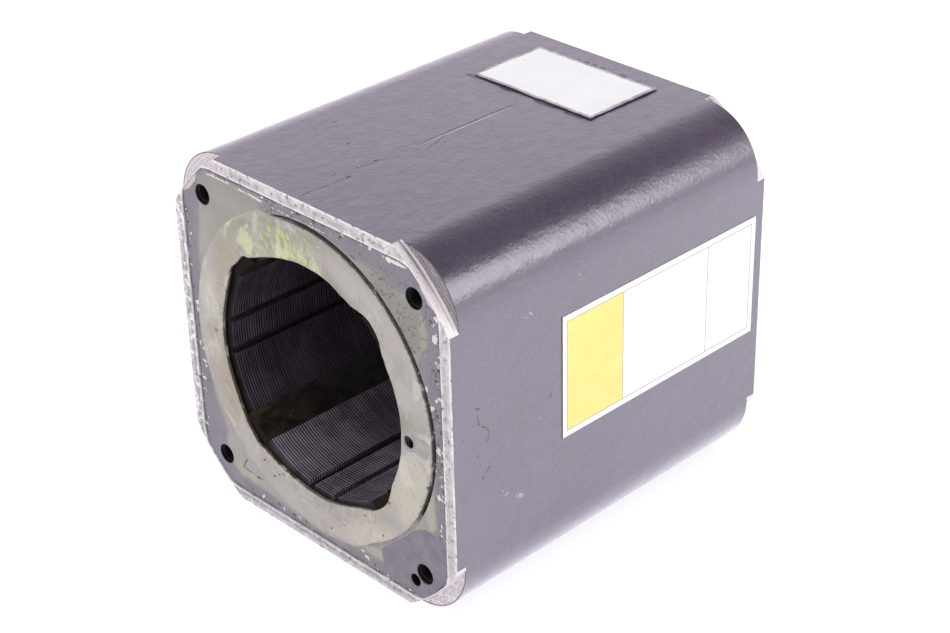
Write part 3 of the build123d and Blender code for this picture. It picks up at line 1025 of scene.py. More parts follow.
def smoothLoop(corners, steps):
    # A closed curve through the corners, steps points for each
    loop = [Vector(p) for p in corners]
    curve = []
    for i, a in enumerate(loop):
        before, b, after = loop[i - 1], loop[(i + 1) % len(loop)], loop[(i + 2) % len(loop)]
        for step in range(steps):
            t = step / steps
            curve.append(0.5 * (2 * a + (b - before) * t + (2 * before - 5 * a + 4 * b - after) * t * t + (
                3 * a - before - 3 * b + after) * t ** 3))
    return curve


def loosePoints(seed, count, spanX, spanZ, outline, holes, margin):
    draw = random.Random(seed)
    points = [Vector((draw.uniform(*spanX), draw.uniform(*spanZ))) for _ in range(count)]
    return [p for p in points if clearOf(p, holes, margin) and insideLoop(p, outline)]


def fillLoops(loops, loose, holes, margin=0.0):
    # Triangles inside the first loop and outside the holes, through the loose points
    seedPoints, edges = [], []
    for loop in loops:
        start = len(seedPoints)
        seedPoints += loop
        edges += [(start + i, start + (i + 1) % len(loop)) for i in range(len(loop))]
    flat, _, triangles, _, _, _ = delaunay_2d_cdt(seedPoints + loose, edges, [], 0, 1e-6)
    kept = []
    for triangle in triangles:
        middle = sum((flat[i] for i in triangle), Vector((0, 0))) / 3
        if clearOf(middle, holes, margin) and insideLoop(middle, loops[0]):
            kept.append(tuple(triangle))
    return flat, kept


def sheetMesh(name, flat, kept, faceAt, back, finish):
    # A closed sheet: faceAt(p) gives the y of its front, back that of its flat rear
    points = [Vector((p.x, faceAt(p), p.y)) for p in flat] + [Vector((p.x, back, p.y)) for p in flat]
    count = len(flat)
    faces = kept + [tuple(count + i for i in reversed(t)) for t in kept]
    pairs = {(t[i], t[(i + 1) % 3]) for t in kept for i in range(3)}
    faces += [(b, a, a + count, b + count) for a, b in pairs if (b, a) not in pairs]
    return finishMesh(name, points, faces, [finish], None, 45)


def makePlate(name, atRear, film, holeFinish):
    reach, openingRadius = housing["turnedRadius"], plates["openingRadius"]
    outline = clipped(sleeveOutline(housing["wall"] + plates["gap"]),
                      reach - housing["crescent"] * housing["wall"] - plates["gap"])
    flatSide = outline[0].x
    holes = plateHoles(not atRear)
    loops = [outline, circlePoints(0, 0, openingRadius, 240)]
    loops += [circlePoints(x, z, radius, 40) for x, z, radius in holes]
    step = plates["spacing"]
    halfWidth = sleeveHigh.x / mm
    draw = random.Random(4)
    grid = [-halfWidth + step * i for i in range(int(2 * halfWidth / step) + 1)]
    loose = []
    for gx in grid:
        for gz in grid:
            p = Vector((gx + draw.uniform(-0.3, 0.3) * step, gz + draw.uniform(-0.3, 0.3) * step))
            onPlate = openingRadius + 0.7 * step < p.length < reach - 1.0 and insideLoop(p, outline)
            if onPlate and max(abs(p.x), abs(p.y)) < flatSide - 0.6 * step and clearOf(p, holes, 0.5 * step):
                loose.append(p)
    # Closer points where a small mark needs them
    marks = plateMarks["pits"] + plateMarks["bits"] + strokeOvals(plateMarks["creases"] + plateMarks["scratches"])
    for centre, size, tilt in marks:
        long, wide = size[0] + 0.6, size[1] + 0.6
        turn = Matrix.Rotation(math.radians(tilt), 2)
        for i in range(int(2 * long / 0.35)):
            for j in range(int(2 * wide / 0.3)):
                off = Vector((-long + 0.35 * i + draw.uniform(0, 0.1), -wide + 0.3 * j + draw.uniform(0, 0.1)))
                p = Vector(centre) + turn @ off
                onPlate = openingRadius + 0.4 < p.length < reach - 0.6 and insideLoop(p, outline)
                if onPlate and max(abs(p.x), abs(p.y)) < flatSide - 0.3 and clearOf(p, holes, 0.3):
                    loose.append(p)
    opening = (0, 0, openingRadius)
    flat, kept = fillLoops(loops, loose, holes + [opening])
    face, inward = endFace(atRear)
    points = []
    for p in flat:
        place = Vector((p.x, face, p.y))
        lumps = 0.5 + 0.35 * ripple(place, 11, 2) + 0.2 * ripple(place, 3.5, 7) + 0.12 * ripple(place, 1.4, 3)
        swell = smoothStep(toHoles(p, holes + [opening]), 0.0, 1.6)
        place.y -= inward * plates["filmHeight"] * lumps * swell
        points.append(place)
    pairs = {}
    for t in kept:
        for i in range(3):
            pairs[(t[i], t[(i + 1) % 3])] = True
    rims = [pair for pair in pairs if (pair[1], pair[0]) not in pairs]
    back = face + inward * plates["thickness"]
    backPoints = {}
    for i in (i for rim in rims for i in rim):
        if i not in backPoints:
            backPoints[i] = len(points)
            points.append(Vector((points[i].x, back, points[i].z)))
    faces = kept + [(b, a, backPoints[a], backPoints[b]) for a, b in rims]
    slots = [0] * len(kept) + [1] * len(rims)
    piece = finishMesh(name, points, faces, [film, holeFinish], slots, 30)
    addField(piece, "filmEdge", plateMarks["filmEdge"])
    for areaName in ("pinkArea", "creamArea", "dirtArea", "wornArea"):
        addOvals(piece, areaName, plateMarks[areaName])
    addOvals(piece, "darkMarks", plateMarks["pits"] + strokeOvals(plateMarks["creases"]))
    addOvals(piece, "brightMarks", plateMarks["bits"] + strokeOvals(plateMarks["scratches"]))
    return piece


def makeThread(name, x, z, atRear, steel):
    # Chamfered mouth, then an M8 thread running to the bottom of the plate
    face, inward = endFace(atRear)
    pitch, turns, around, bottom = 1.25, 7, 48, 8.9
    outer, inner, chamfer = plates["threadRadius"], mountDims("front_bolts")["hole_r_mm"], plates["holeChamfer"]
    rows = [(0.0, outer + chamfer, 0.0), (chamfer, outer, 0.0)]
    for turn in range(turns):
        for along, radius in ((0.0, outer), (0.35, inner + 0.06), (0.5, inner), (0.75, inner), (0.9, inner + 0.06)):
            rows.append((chamfer + turn * pitch + along, radius, pitch))
    points = []
    for deep, radius, climb in rows:
        for i, p in enumerate(circlePoints(x, z, radius, around)):
            points.append((p.x, face + inward * min(deep + climb * i / around, bottom), p.y))
    return finishMesh(name, points, ringFaces(len(rows), around), [steel], None, 40)


filmFinish = plateFilm()
# Threads and the plates' edge walls coloured near black: painted shade inside the holes
holeShadeFinish = plainStained("holeThread", (0.004, 0.0035, 0.004), (0.012, 0.011, 0.012), 0.6, 3.0, 0.03, 0.0, 0.12)
for atRear, endName in ((False, "front"), (True, "rear")):
    seat(makePlate(endName + "Plate", atRear, filmFinish, holeShadeFinish), "plate_grey", endName + "_end_plate")
for atRear, endName in ((False, "front"), (True, "rear")):
    for sx, sz, corner in ((1, 1, "TopRight"), (-1, 1, "TopLeft"), (-1, -1, "BottomLeft"), (1, -1, "BottomRight")):
        thread = makeThread(endName + "Thread" + corner, sx * boltHalf, sz * boltHalf, atRear, holeShadeFinish)
        seat(thread, "plate_grey")
print("end plates ready")


# Potting rings: cast resin with lobes in the opening

rings = {
    "outerRadius": 66.65,
    "clearRadius": 50.5,
    "opening": [(0, 50.5), (30, 50.5), (36, 51.4), (38.4, 52.5), (41, 53.6), (44.6, 54.3), (48.4, 54.5), (52, 53.9),
        (55, 52.6), (59.5, 50.9), (66, 50.5), (73, 51.2), (85, 50.9), (100, 50.6), (108, 50.7), (113, 51),
        (123, 52.1), (128, 53.2), (131.1, 55.4), (137, 54.9), (143.1, 55.6), (146, 55.2), (149, 54.4), (152, 53.7),
        (160, 52.9), (180, 53.2), (195, 53.3), (207, 53.6), (213.8, 54.7), (217.7, 55.1), (220.5, 55.9), (224.8, 56),
        (229.1, 56.5), (230.9, 57), (233.5, 55.1), (236.2, 54.9), (240, 54.3), (250, 52.9), (262, 52.3), (278, 52.1),
        (288, 51.5), (298, 52), (302, 52.8), (305.7, 53.9), (310.4, 54.4), (315.4, 54.4), (320, 53.8), (324, 52.6),
        (329.4, 51), (337, 50.5), (360, 50.5)],
    "around": 900,
    "proud": 1.4,
    "seatDepth": 1.6,
    "waveHeight": 0.34,
    "leadHole": (55, -1.6, 2.6),
    "fillFrom": 104,
    "fillTo": 296,
    "flareOuter": 69.5,
    "patchOutline": [(52.4, 2.2), (54.5, 2.9), (57, 2.2), (60, 2.4), (63, 2.8), (65.2, 2.2), (65.5, 0), (65.3, -3),
        (64.5, -5.2), (61, -5.4), (58, -5), (56, -5.6), (53.5, -5.9), (51.9, -4.6), (51.7, -1)],
}

grooveRuns = {
    "fill": {"span": (rings["fillFrom"], rings["fillTo"]), "outer": 67.95, "steps": 420, "across": 7,
             "start": -0.5, "rise": 0.42, "waves": ((0.16, 3), (0.1, 1.1)), "fade": 0.06,
             "sink": 1.6, "depth": 3.9, "flattens": True},
    "bead": {"span": (-96, -30), "outer": 68.2, "steps": 240, "across": 6,
             "start": -0.32, "rise": 0.25, "waves": ((0.1, 2.5), (0.05, 0.9)), "fade": 0.1,
             "sink": 1.2, "depth": 2.5, "flattens": False},
}

ringMarks = {
    "smears": [((-14, 53.6), (16, 4.6), 9), ((-30.5, 50), (8, 4.6), 20), ((2, 53.4), (4.5, 3), -10),
        ((-12, 58.6), (14, 3), 3)],
    "paleSmears": [((-32.5, 50), (5.5, 4), 15), ((-10, 52), (6, 1.6), 12), ((-45, 54), (4, 1.6), 38)],
    "beige": [((-46, 42), (8, 9), 40), ((-50, 33), (5, 9), 20), ((-54, -20), (7, 18), 12)],
    "yellowCream": [((-60, 8), (6, 19), 2), ((55, -22), (9, 18), -14), ((30, -58), (19, 8), 22)],
    "oliveGrey": [((-12, 62.6), (9, 2.4), 4), ((22, 61), (13, 1.8), -22), ((18, 48.6), (9, 2.2), -25),
        ((53.5, 5), (5, 3.4), 0), ((-33, 56.5), (9, 2), 22), ((3, 63.5), (12, 1.6), -3)],
    "paleGrey": [((30, 52), (15, 6), -35), ((52, 22), (6, 16), 15), ((-12, -60.5), (21, 6), 0),
        ((-44, -50), (10, 8), -40)],
    "shades": [((52, 28), (2.6, 3.4), 0), ((54, 8), (7, 2.6), 0), ((-60, -0.5), (4.5, 4), 0)],
    "tones": [("beige", 0.9, (0.385, 0.33, 0.26)), ("yellowCream", 0.7, (0.56, 0.525, 0.44)),
        ("oliveGrey", 0.85, (0.25, 0.245, 0.18)), ("paleGrey", 0.7, (0.455, 0.42, 0.4)),
        ("shades", 0.45, (0.26, 0.24, 0.2))],
    "pits": [((-33, -49.8), (1, 0.6), 20), ((-27.2, -55), (0.9, 0.6), 15), ((-24, -52.8), (0.6, 0.5), 0),
        ((-21.5, -51.6), (0.6, 0.5), 0), ((6.8, -63.7), (0.6, 0.4), 0), ((27.5, -47.6), (0.7, 0.4), 10),
        ((42, -34.8), (0.6, 0.7), 0), ((64, -17.8), (0.8, 0.7), 20), ((62.8, -0.6), (0.7, 0.6), 0),
        ((58.6, -3.4), (0.5, 0.7), 0), ((14.5, -58.5), (0.8, 0.4), 0), ((37.6, -52), (0.7, 0.5), 0)],
    "dirtAreas": [((-58, 0), (5, 6), 0), ((-30, -52), (9, 3.5), -15), ((52, -7), (5, 3), 0), ((55, 4), (5, 4), 0),
        ((54, -12), (5, 5), 0), ((-20, 60), (10, 3), 0)],
}


def leadHole():
    # Centre and radius of the lead hole, as (x, z, radius)
    reach, angle, radius = rings["leadHole"]
    return reach * math.cos(math.radians(angle)), reach * math.sin(math.radians(angle)), radius


def openingAt(angle):
    # Radius of the opening, wider at its four corners
    degrees = math.degrees(angle) % 360
    table = rings["opening"]
    for (low, a), (high, b) in zip(table, table[1:]):
        if low <= degrees <= high:
            return max(a + (b - a) * (degrees - low) / (high - low), rings["clearRadius"])


def softOpening(angle):
    # The opening with its corners rounded, as resin leaves them
    spread = math.radians(1.1)
    samples = [openingAt(angle + spread * (i - 3) / 3) for i in range(7)]
    return sum(samples) / len(samples)


def ringSection(opening, outer, proud, seatDepth, flare):
    # From the undercut behind the opening over the face to the outer wall, as (radius, depth)
    section = [(opening + 2.3, seatDepth), (opening + 2.2, 0.65), (opening + 0.25, 0.6), (opening + 0.05, 0.45)]
    section += [(opening, 0.1), (opening, -0.3), (opening, -0.8), (opening + 0.06, -proud + 0.3),
                (opening + 0.2, -proud + 0.1), (opening + 0.45, -proud + 0.02)]
    steps = 26
    first, last = opening + 0.8, outer - 0.85
    section += [(first + (last - first) * i / steps, -proud) for i in range(steps + 1)]
    wall = [(outer - 0.55, -proud + 0.03), (outer - 0.3, -proud + 0.12), (outer - 0.1, -proud + 0.35),
            (outer, -proud + 0.75), (outer, 0.3), (outer, seatDepth)]
    # Where the groove is filled the resin runs out over the plate instead
    wide = rings["flareOuter"] - outer
    ramp = [(outer - 0.1, -proud + 0.1), (outer + 0.25 * wide, -proud + 0.42), (outer + 0.5 * wide, -proud + 0.78),
            (outer + 0.78 * wide, -proud + 1.1), (outer + wide, -0.02), (outer + 0.2, seatDepth)]
    section += [(a + (c - a) * flare, b + (d - b) * flare) for (a, b), (c, d) in zip(wall, ramp)]
    return section


def flareAt(angle):
    degrees = math.degrees(angle)
    wobble = 4 * roundRipple(30, angle, 4, 6)
    return smoothStep(degrees + wobble, rings["fillFrom"] - 2, rings["fillFrom"] + 10) * (
        1 - smoothStep(degrees + wobble, rings["fillTo"] - 10, rings["fillTo"] + 2))


def creaseAt(x, z):
    # Raised folds and flow lines in the resin, height in mm
    height = 0.0
    for start, end, width, tall in ringCreases:
        a, b = Vector(start), Vector(end)
        along = max(0.0, min(1.0, (Vector((x, z)) - a).dot(b - a) / (b - a).length_squared))
        bow = 1.5 * math.sin(math.pi * along)
        nearest = a + (b - a) * along + Vector((-(b - a).y, (b - a).x)).normalized() * bow
        off = (Vector((x, z)) - nearest).length
        height = max(height, tall * (1 - smoothStep(off, 0.15 * width, width)))
    return height


ringCreases = [((-52.5, 40.5), (-46.5, 33), 1.3, 0.22), ((-57.5, 28), (-60, 14), 1.5, 0.2),
    ((-60, 12), (-57, 4), 1.3, 0.16), ((-50, 43.5), (-54, 38), 1, 0.14), ((4.5, 57), (9.5, 52), 1.2, 0.2),
    ((12, 61.5), (27, 56), 1, 0.12), ((57.5, 8), (62.5, 8.5), 0.9, 0.14), ((-62.5, -30), (-55, -36), 1.4, 0.12),
    ((-48, -58), (-38, -61), 0.8, -0.16), ((-26, -58), (-20, -64.5), 1.1, 0.12),]

ringPits = [(-35.5, -52, 0.9), (-28, -54.6, 0.8), (-26.5, -56.2, 0.5), (-24.6, -54.9, 0.6), (-38, -60.6, 0.9),
    (5.5, -64.5, 0.6), (40.5, 47.5, 0.5), (-57.5, 0.5, 1.1), (-58.5, -3, 0.8), (59.8, -44, 0.6), (58.5, -7, 0.5),
    (61.5, -9, 0.6), (33.5, -47, 0.7), (-12, -60, 0.4), (-17.5, -62, 0.4)]


def pitAt(x, z):
    deep = 0.0
    for px, pz, size in ringPits:
        off = math.hypot(x - px, z - pz)
        if off < size:
            deep = max(deep, 0.45 * size * (1 - smoothStep(off, 0.25 * size, size)))
    return deep


def makeRing(name, atRear, resin):
    face, inward = endFace(atRear)
    around = rings["around"]
    columns = []
    for i in range(around):
        angle = 2 * math.pi * i / around
        wobble = 0.16 * roundRipple(40, angle, 6, 1 + atRear) + 0.07 * roundRipple(40, angle, 1.3, 4)
        column = []
        opening = max(softOpening(angle) + wobble, rings["clearRadius"])
        flare = 0.0 if atRear else flareAt(angle)
        outline = ringSection(opening, rings["outerRadius"], rings["proud"], rings["seatDepth"], flare)
        for row, (radius, deep) in enumerate(outline):
            if flare > 0 and row > 36 and row < len(outline) - 1:
                edgeWave = 0.5 * roundRipple(radius, angle, 4, 7) + 0.08 * roundRipple(60, angle, 1.2, 3)
                radius += flare * edgeWave * (row - 36) / 5
            x, z = radius * math.cos(angle), radius * math.sin(angle)
            place = Vector((x, face + inward * deep, z))
            if deep < -0.9:
                # Low waves, folds and pits, none above the proud plane
                lift = 0.55 * ripple(place, 15, 3) + 0.3 * ripple(place, 5, 6) + 0.12 * ripple(place, 2, 8)
                lift = (lift - 0.9) * rings["waveHeight"]
                if not atRear:
                    lift += creaseAt(x, z) - pitAt(x, z)
                    lift *= smoothStep(math.hypot(x - 59, z + 1.6), 6.5, 11)
                place.y -= inward * min(lift, 0.0)
            elif not atRear and -0.9 <= deep < 0.5 and radius < opening + 1 and x + z < -20:
                # Crust left on the wall at the lower left
                crust = smoothStep(-x - z, 20, 45) * (0.5 + ripple(place, 2.2, 4) + 0.6 * ripple(place, 0.9, 2))
                place.x += 0.35 * max(0.0, crust) * math.cos(angle)
                place.z += 0.35 * max(0.0, crust) * math.sin(angle)
            column.append(place)
        columns.append(column)
    rows = len(columns[0])
    points = [columns[i][row] for row in range(rows) for i in range(around)]
    faces = ringFaces(rows, around)
    last = (rows - 1) * around
    faces += [(last + i, last + (i + 1) % around, (i + 1) % around, i) for i in range(around)]
    if not atRear:
        # Open the lead hole: faces over it go, and the points round it sit on the circle
        hx, hz, radius = leadHole()
        near = [math.hypot(p.x - hx, p.z - hz) for p in points]
        faces = [f for f in faces if not all(near[i] < radius * 1.02 for i in f) or points[f[0]].y > 0.2]
        rim = {i for f in faces for i in f if near[i] < radius * 1.25 and points[i].y < -0.9}
        for i in rim:
            if near[i] < radius:
                scale = radius / max(near[i], 0.01)
                points[i].x = hx + (points[i].x - hx) * scale
                points[i].z = hz + (points[i].z - hz) * scale
    return finishMesh(name, points, faces, [resin], None, 50)


def makeLeadPatch(finish):
    # Sealing patch round the lead hole, its edge uneven
    hole = leadHole()
    outline = [p + 0.12 * Vector((flatRipple(p, 0.9, 2), flatRipple(p, 0.9, 7)))
               for p in smoothLoop(rings["patchOutline"], 8)]
    loose = loosePoints(3, 700, (51.5, 65.8), (-6.2, 3.2), outline, [hole], 0.2)
    flat, kept = fillLoops([outline, circlePoints(*hole, 44)], loose, [hole], -0.013)
    top = frontFace - rings["proud"]

    def faceAt(p):
        toEdge = min((p - q).length for q in outline)
        ridge = 1 - smoothStep(abs(p.y - 0.9 - 0.5 * ripple((p.x, 0, 0), 3, 5)), 0.3, 1.0)
        rise = 0.1 + 0.04 * flatRipple(p, 2.2, 3) + 0.06 * ridge
        return top - min(0.19, rise * smoothStep(toEdge, -0.2, 0.7))

    return sheetMesh("leadPatchSheet", flat, kept, faceAt, top + 0.5, finish)


def makeGrooveRun(name, shape, finish):
    # Resin or putty lying in the groove round the ring, fading out at its ends
    steps, across = shape["steps"], shape["across"]
    inner, outer = rings["outerRadius"] + 0.02, shape["outer"]
    low, high = shape["span"]
    (tall, size), (fineTall, fineSize) = shape["waves"]
    points = []
    for i in range(steps + 1):
        share = i / steps
        angle = math.radians(low + (high - low) * share)
        ends = smoothStep(min(share, 1 - share), 0.0, shape["fade"])
        for j in range(across):
            radius = inner + (outer - inner) * j / (across - 1)
            x, z = radius * math.cos(angle), radius * math.sin(angle)
            top = shape["start"] + shape["rise"] * j / (across - 1)
            top += tall * ripple((x, 0, z), size, 2) + fineTall * ripple((x, 0, z), fineSize, 5)
            top *= ends if shape["flattens"] else 1.0
            points.append(Vector((x, frontFace + top + shape["sink"] * (1 - ends), z)))
        for radius in (outer, inner):
            points.append(Vector((radius * math.cos(angle), frontFace + shape["depth"], radius * math.sin(angle))))
    faces = ringFaces(steps + 1, across + 2) + endCaps(steps + 1, across + 2)
    return finishMesh(name, points, faces, [finish], None, 50)


frontResin = pottingResin("frontResin", True)
rearResin = pottingResin("rearResin", False)
frontRing = seat(makeRing("frontRing", False, frontResin), "potting_resin", "front_potting_ring")
seat(makeRing("rearRing", True, rearResin), "potting_resin", "rear_potting_ring")
grooveFill = seat(makeGrooveRun("grooveFill", grooveRuns["fill"], frontResin), "potting_resin", "groove_fill")
for piece in (frontRing, grooveFill):
    for areaName in ringMarks:
        if areaName != "tones":
            addOvals(piece, areaName, ringMarks[areaName])
patchGrey = plainStained("leadPatchGrey", (0.26, 0.255, 0.25), (0.38, 0.37, 0.35), 0.5, 3, 0.1)
seat(makeLeadPatch(patchGrey), "lead_patch_grey", "lead_patch")
beadGrey = plainStained("edgeBeadGrey", (0.19, 0.172, 0.18), (0.33, 0.305, 0.29), 0.5, 4, 0.1)
seat(makeGrooveRun("edgeBead", grooveRuns["bead"], beadGrey), "potting_resin")
print("potting rings ready")


# Laminated poles and the resin between them

bore = {
    "outerRadius": 66.5,
    "interpoleWidth": 13.6,
    "poleGap": 0.05,
    "slotWidth": 3.3,
    "slotDepth": 7,
    "slotHalfAngle": 7.85,
    "sheetPitch": 1.26,
    "sheetGroove": 0.3,
    # Painted light and shade for the poles' steel, right, top, left, bottom: brightest on the bottom pole, which
    # faces up
    "sheetTones": (1, 0.75, 0.62, 2.1),
    "endReach": 54.6,
}
boreRadius = mountDims("rotor_bore")["r_mm"]


def poleOutline():
    # Closed outline of a pole about angle 0, with a flag for points on its bore side
    outline = []
    sideHalf = bore["interpoleWidth"] / 2 + bore["poleGap"]
    start = math.pi / 4 - math.asin(sideHalf / boreRadius)
    slots = [math.radians(-bore["slotHalfAngle"]), math.radians(bore["slotHalfAngle"])]
    halfSlot = math.asin(bore["slotWidth"] / 2 / boreRadius)
    cuts = [-start, slots[0] - halfSlot, slots[0] + halfSlot, slots[1] - halfSlot, slots[1] + halfSlot, start]
    for part in range(3):
        low, high = cuts[2 * part], cuts[2 * part + 1]
        steps = max(4, round((high - low) * boreRadius / 2.4))
        for i in range(steps + 1):
            outline.append((polarPoint(boreRadius, low + (high - low) * i / steps), True))
        if part < 2:
            along = polarPoint(1.0, slots[part])
            aside = Vector((-along.y, along.x)) * bore["slotWidth"] / 2
            bottom = along * (boreRadius + bore["slotDepth"])
            outline.append((bottom - aside, True))
            outline.append((bottom + aside, True))
    outer = math.pi / 4 - math.asin(sideHalf / bore["outerRadius"])
    for i in range(17):
        outline.append((polarPoint(bore["outerRadius"], outer - 2 * outer * i / 16), False))
    return outline


def sweptBar(name, outline, turn, stations, finishes):
    # outline as (point, on the bore side); stations as (y, inset in mm, slot of the faces behind it)
    rotation = Matrix.Rotation(turn, 2)
    points = []
    for y, inset, _ in stations:
        for p, movable in outline:
            q = p + p.normalized() * inset if movable else p
            q = rotation @ q
            points.append(Vector((q.x, y, q.y)))
    count = len(outline)
    faces = ringFaces(len(stations), count)
    slots = [stations[i // count][2] for i in range(len(faces))]
    return finishMesh(name, points, faces + endCaps(len(stations), count), finishes, slots + [1, 1], 25)


def sheetStations(low, high, seed):
    # Every sheet edge, with a dark groove between sheets and slightly uneven sheets
    draw = random.Random(seed)
    pitch = bore["sheetPitch"]
    count = int((high - low) / pitch)
    pitch = (high - low) / count
    stations = []
    for i in range(count):
        y = low + i * pitch
        proud = draw.uniform(0.0, 0.05)
        edge = draw.uniform(0.42, 0.56)
        stations += [(y, proud, 0), (y + edge * pitch, proud, 1), (y + (edge + 0.06) * pitch, bore["sheetGroove"], 1),
                     (y + 0.94 * pitch, bore["sheetGroove"], 1)]
    stations.append((high, 0.03, 1))
    return stations


def makePoles():
    for index, name in enumerate(("right", "top", "left", "bottom")):
        low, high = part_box("pole_" + name)
        stations = sheetStations(low.y / mm, high.y / mm, index)
        finishes = [laminatedSteel("sheetEdges" + name.capitalize(), bore["sheetTones"][index], 0),
                    laminatedSteel("sheetGaps" + name.capitalize(), bore["sheetTones"][index], 1)]
        piece = sweptBar("polePack" + name.capitalize(), poleOutline(), index * math.pi / 2, stations, finishes)
        seat(piece, "laminations", "pole_" + name)


def makeInterpoles(resin, ends):
    half = bore["interpoleWidth"] / 2
    inner = math.asin(half / boreRadius)
    for index, name in enumerate(("top_right", "top_left", "bottom_left", "bottom_right")):
        low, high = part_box("interpole_resin_" + name)
        turn = (index + 0.5) * math.pi / 2
        steps, across, behind = 130, 16, 6
        rotation = Matrix.Rotation(turn, 2)
        points = []
        count = across + behind
        for s in range(steps + 1):
            y = (low.y + (high.y - low.y) * s / steps) / mm
            for i in range(across):
                share = i / (across - 1)
                angle = -inner + 2 * inner * share
                edge = smoothStep(min(share, 1 - share), 0.0, 0.12)
                spot = (50 * angle, y, 0)
                wave = 0.5 + 0.5 * ripple(spot, 9, index) + 0.3 * ripple(spot, 2.6, 9 + index)
                radius = boreRadius + 0.12 + 0.5 * edge * max(0.0, wave)
                q = rotation @ polarPoint(radius, angle)
                points.append(Vector((q.x, y, q.y)))
            # The ends stay inside the rings' openings
            atEnd = y < low.y / mm + 1.7 or y > high.y / mm - 1.7
            outside = bore["endReach"] if atEnd else bore["outerRadius"]
            spread = math.asin(half / outside)
            for i in range(behind):
                q = rotation @ polarPoint(outside, spread - 2 * spread * i / (behind - 1))
                points.append(Vector((q.x, y, q.y)))
        faces = ringFaces(steps + 1, count) + endCaps(steps + 1, count)
        slots = [0] * (len(faces) - 2) + [1, 1]
        parts = "".join(word.capitalize() for word in name.split("_"))
        bar = finishMesh("interpoleBar" + parts, points, faces, [resin, ends], slots, 40)
        seat(bar, "interpole_resin", "interpole_resin_" + name)


makePoles()
interpoleEnds = plainStained("interpoleEnds", (0.008, 0.006, 0.004), (0.018, 0.012, 0.007), 0.8, 3, 0.3, 0.0, 0.06)
makeInterpoles(interpoleResin(), interpoleEnds)
print("bore ready")


# Nameplate, side label, putty and crumbs

labelMarks = {
    "border": 2.6,
    "ruleWidth": 0.35,
    "yellowEnd": 33.5,
    "lastRule": 82.5,
}

smallPieces = {
    "plateThickness": 0.3,
    "plateLift": 0.62,
    "labelThickness": 0.2,
    "puttyOutline": [(36, -66), (35.2, -62), (36, -59), (39.5, -56), (45, -51.5), (50, -46.5), (54, -42.5), (58, -40),
        (61, -38.5), (65, -38.8), (69, -41), (71.6, -44.5), (71.7, -52), (70.5, -58), (67, -63.5), (62.5, -67.6),
        (58, -70.4), (52, -71.6), (44, -71), (40, -69.5), (37.5, -68.5)],
    "crumbCount": 300,
}


def thinSheet(name, columns, rows, topPoint, thickness, outward, finish):
    # A sheet with a front and a back; topPoint(u, v) gives its outer face in mm
    front = [topPoint(i / columns, j / rows) for j in range(rows + 1) for i in range(columns + 1)]
    back = [p - outward * thickness for p in front]
    points = front + back
    row = columns + 1
    faces = []
    for j in range(rows):
        for i in range(columns):
            a = j * row + i
            faces.append((a, a + 1, a + row + 1, a + row))
            b = a + len(front)
            faces.append((b + row, b + row + 1, b + 1, b))
    loop = [i for i in range(row)] + [j * row + columns for j in range(1, rows + 1)]
    loop += [rows * row + i for i in range(columns - 1, -1, -1)] + [j * row for j in range(rows - 1, 0, -1)]
    for k, a in enumerate(loop):
        b = loop[(k + 1) % len(loop)]
        faces.append((a, a + len(front), b + len(front), b))
    return finishMesh(name, points, faces, [finish], None, 40)


def makeNameplate(finish):
    low, high = (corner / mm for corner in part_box("nameplate"))
    top = sleeveHigh.z / mm

    def topPoint(u, v):
        x, y = low.x + (high.x - low.x) * u, low.y + (high.y - low.y) * v
        nick = 0.5 * max(0.0, ripple((x, y, 0), 3.5, 4)) * (u < 0.001 or u > 0.999 or v < 0.001 or v > 0.999)
        x += nick if u < 0.5 else -nick
        y += nick if v < 0.5 else -nick
        lift = smallPieces["plateLift"] * (1 - smoothStep(v, 0.0, 0.2)) * (0.55 + 0.45 * ripple((x, 0, 0), 14, 6))
        lift = max(lift, 0.55 * smoothStep(u, 0.86, 1.0) * (0.7 + 0.3 * ripple((0, y, 0), 11, 2)))
        lift = max(lift, 0.3 * (1 - smoothStep(u, 0.0, 0.08)))
        wave = 0.06 * (1 + ripple((x, y, 0), 9, 3))
        return Vector((x, y, top + 0.04 + smallPieces["plateThickness"] + wave + max(0.0, lift)))

    return thinSheet("foilNameplate", 96, 60, topPoint, smallPieces["plateThickness"], Vector((0, 0, 1)), finish)


def makeLabel(finish):
    low, high = (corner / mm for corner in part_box("side_label"))
    side = sleeveHigh.x / mm

    def topPoint(u, v):
        y, z = low.y + (high.y - low.y) * u, low.z + (high.z - low.z) * v
        wave = 0.025 * (1 + ripple((0, y, z), 12, 3)) + 0.02 * smoothStep(abs(u - 0.5), 0.45, 0.5)
        return Vector((side + 0.02 + smallPieces["labelThickness"] + wave, y, z))

    return thinSheet("sideLabelSheet", 110, 52, topPoint, smallPieces["labelThickness"], Vector((1, 0, 0)), finish)


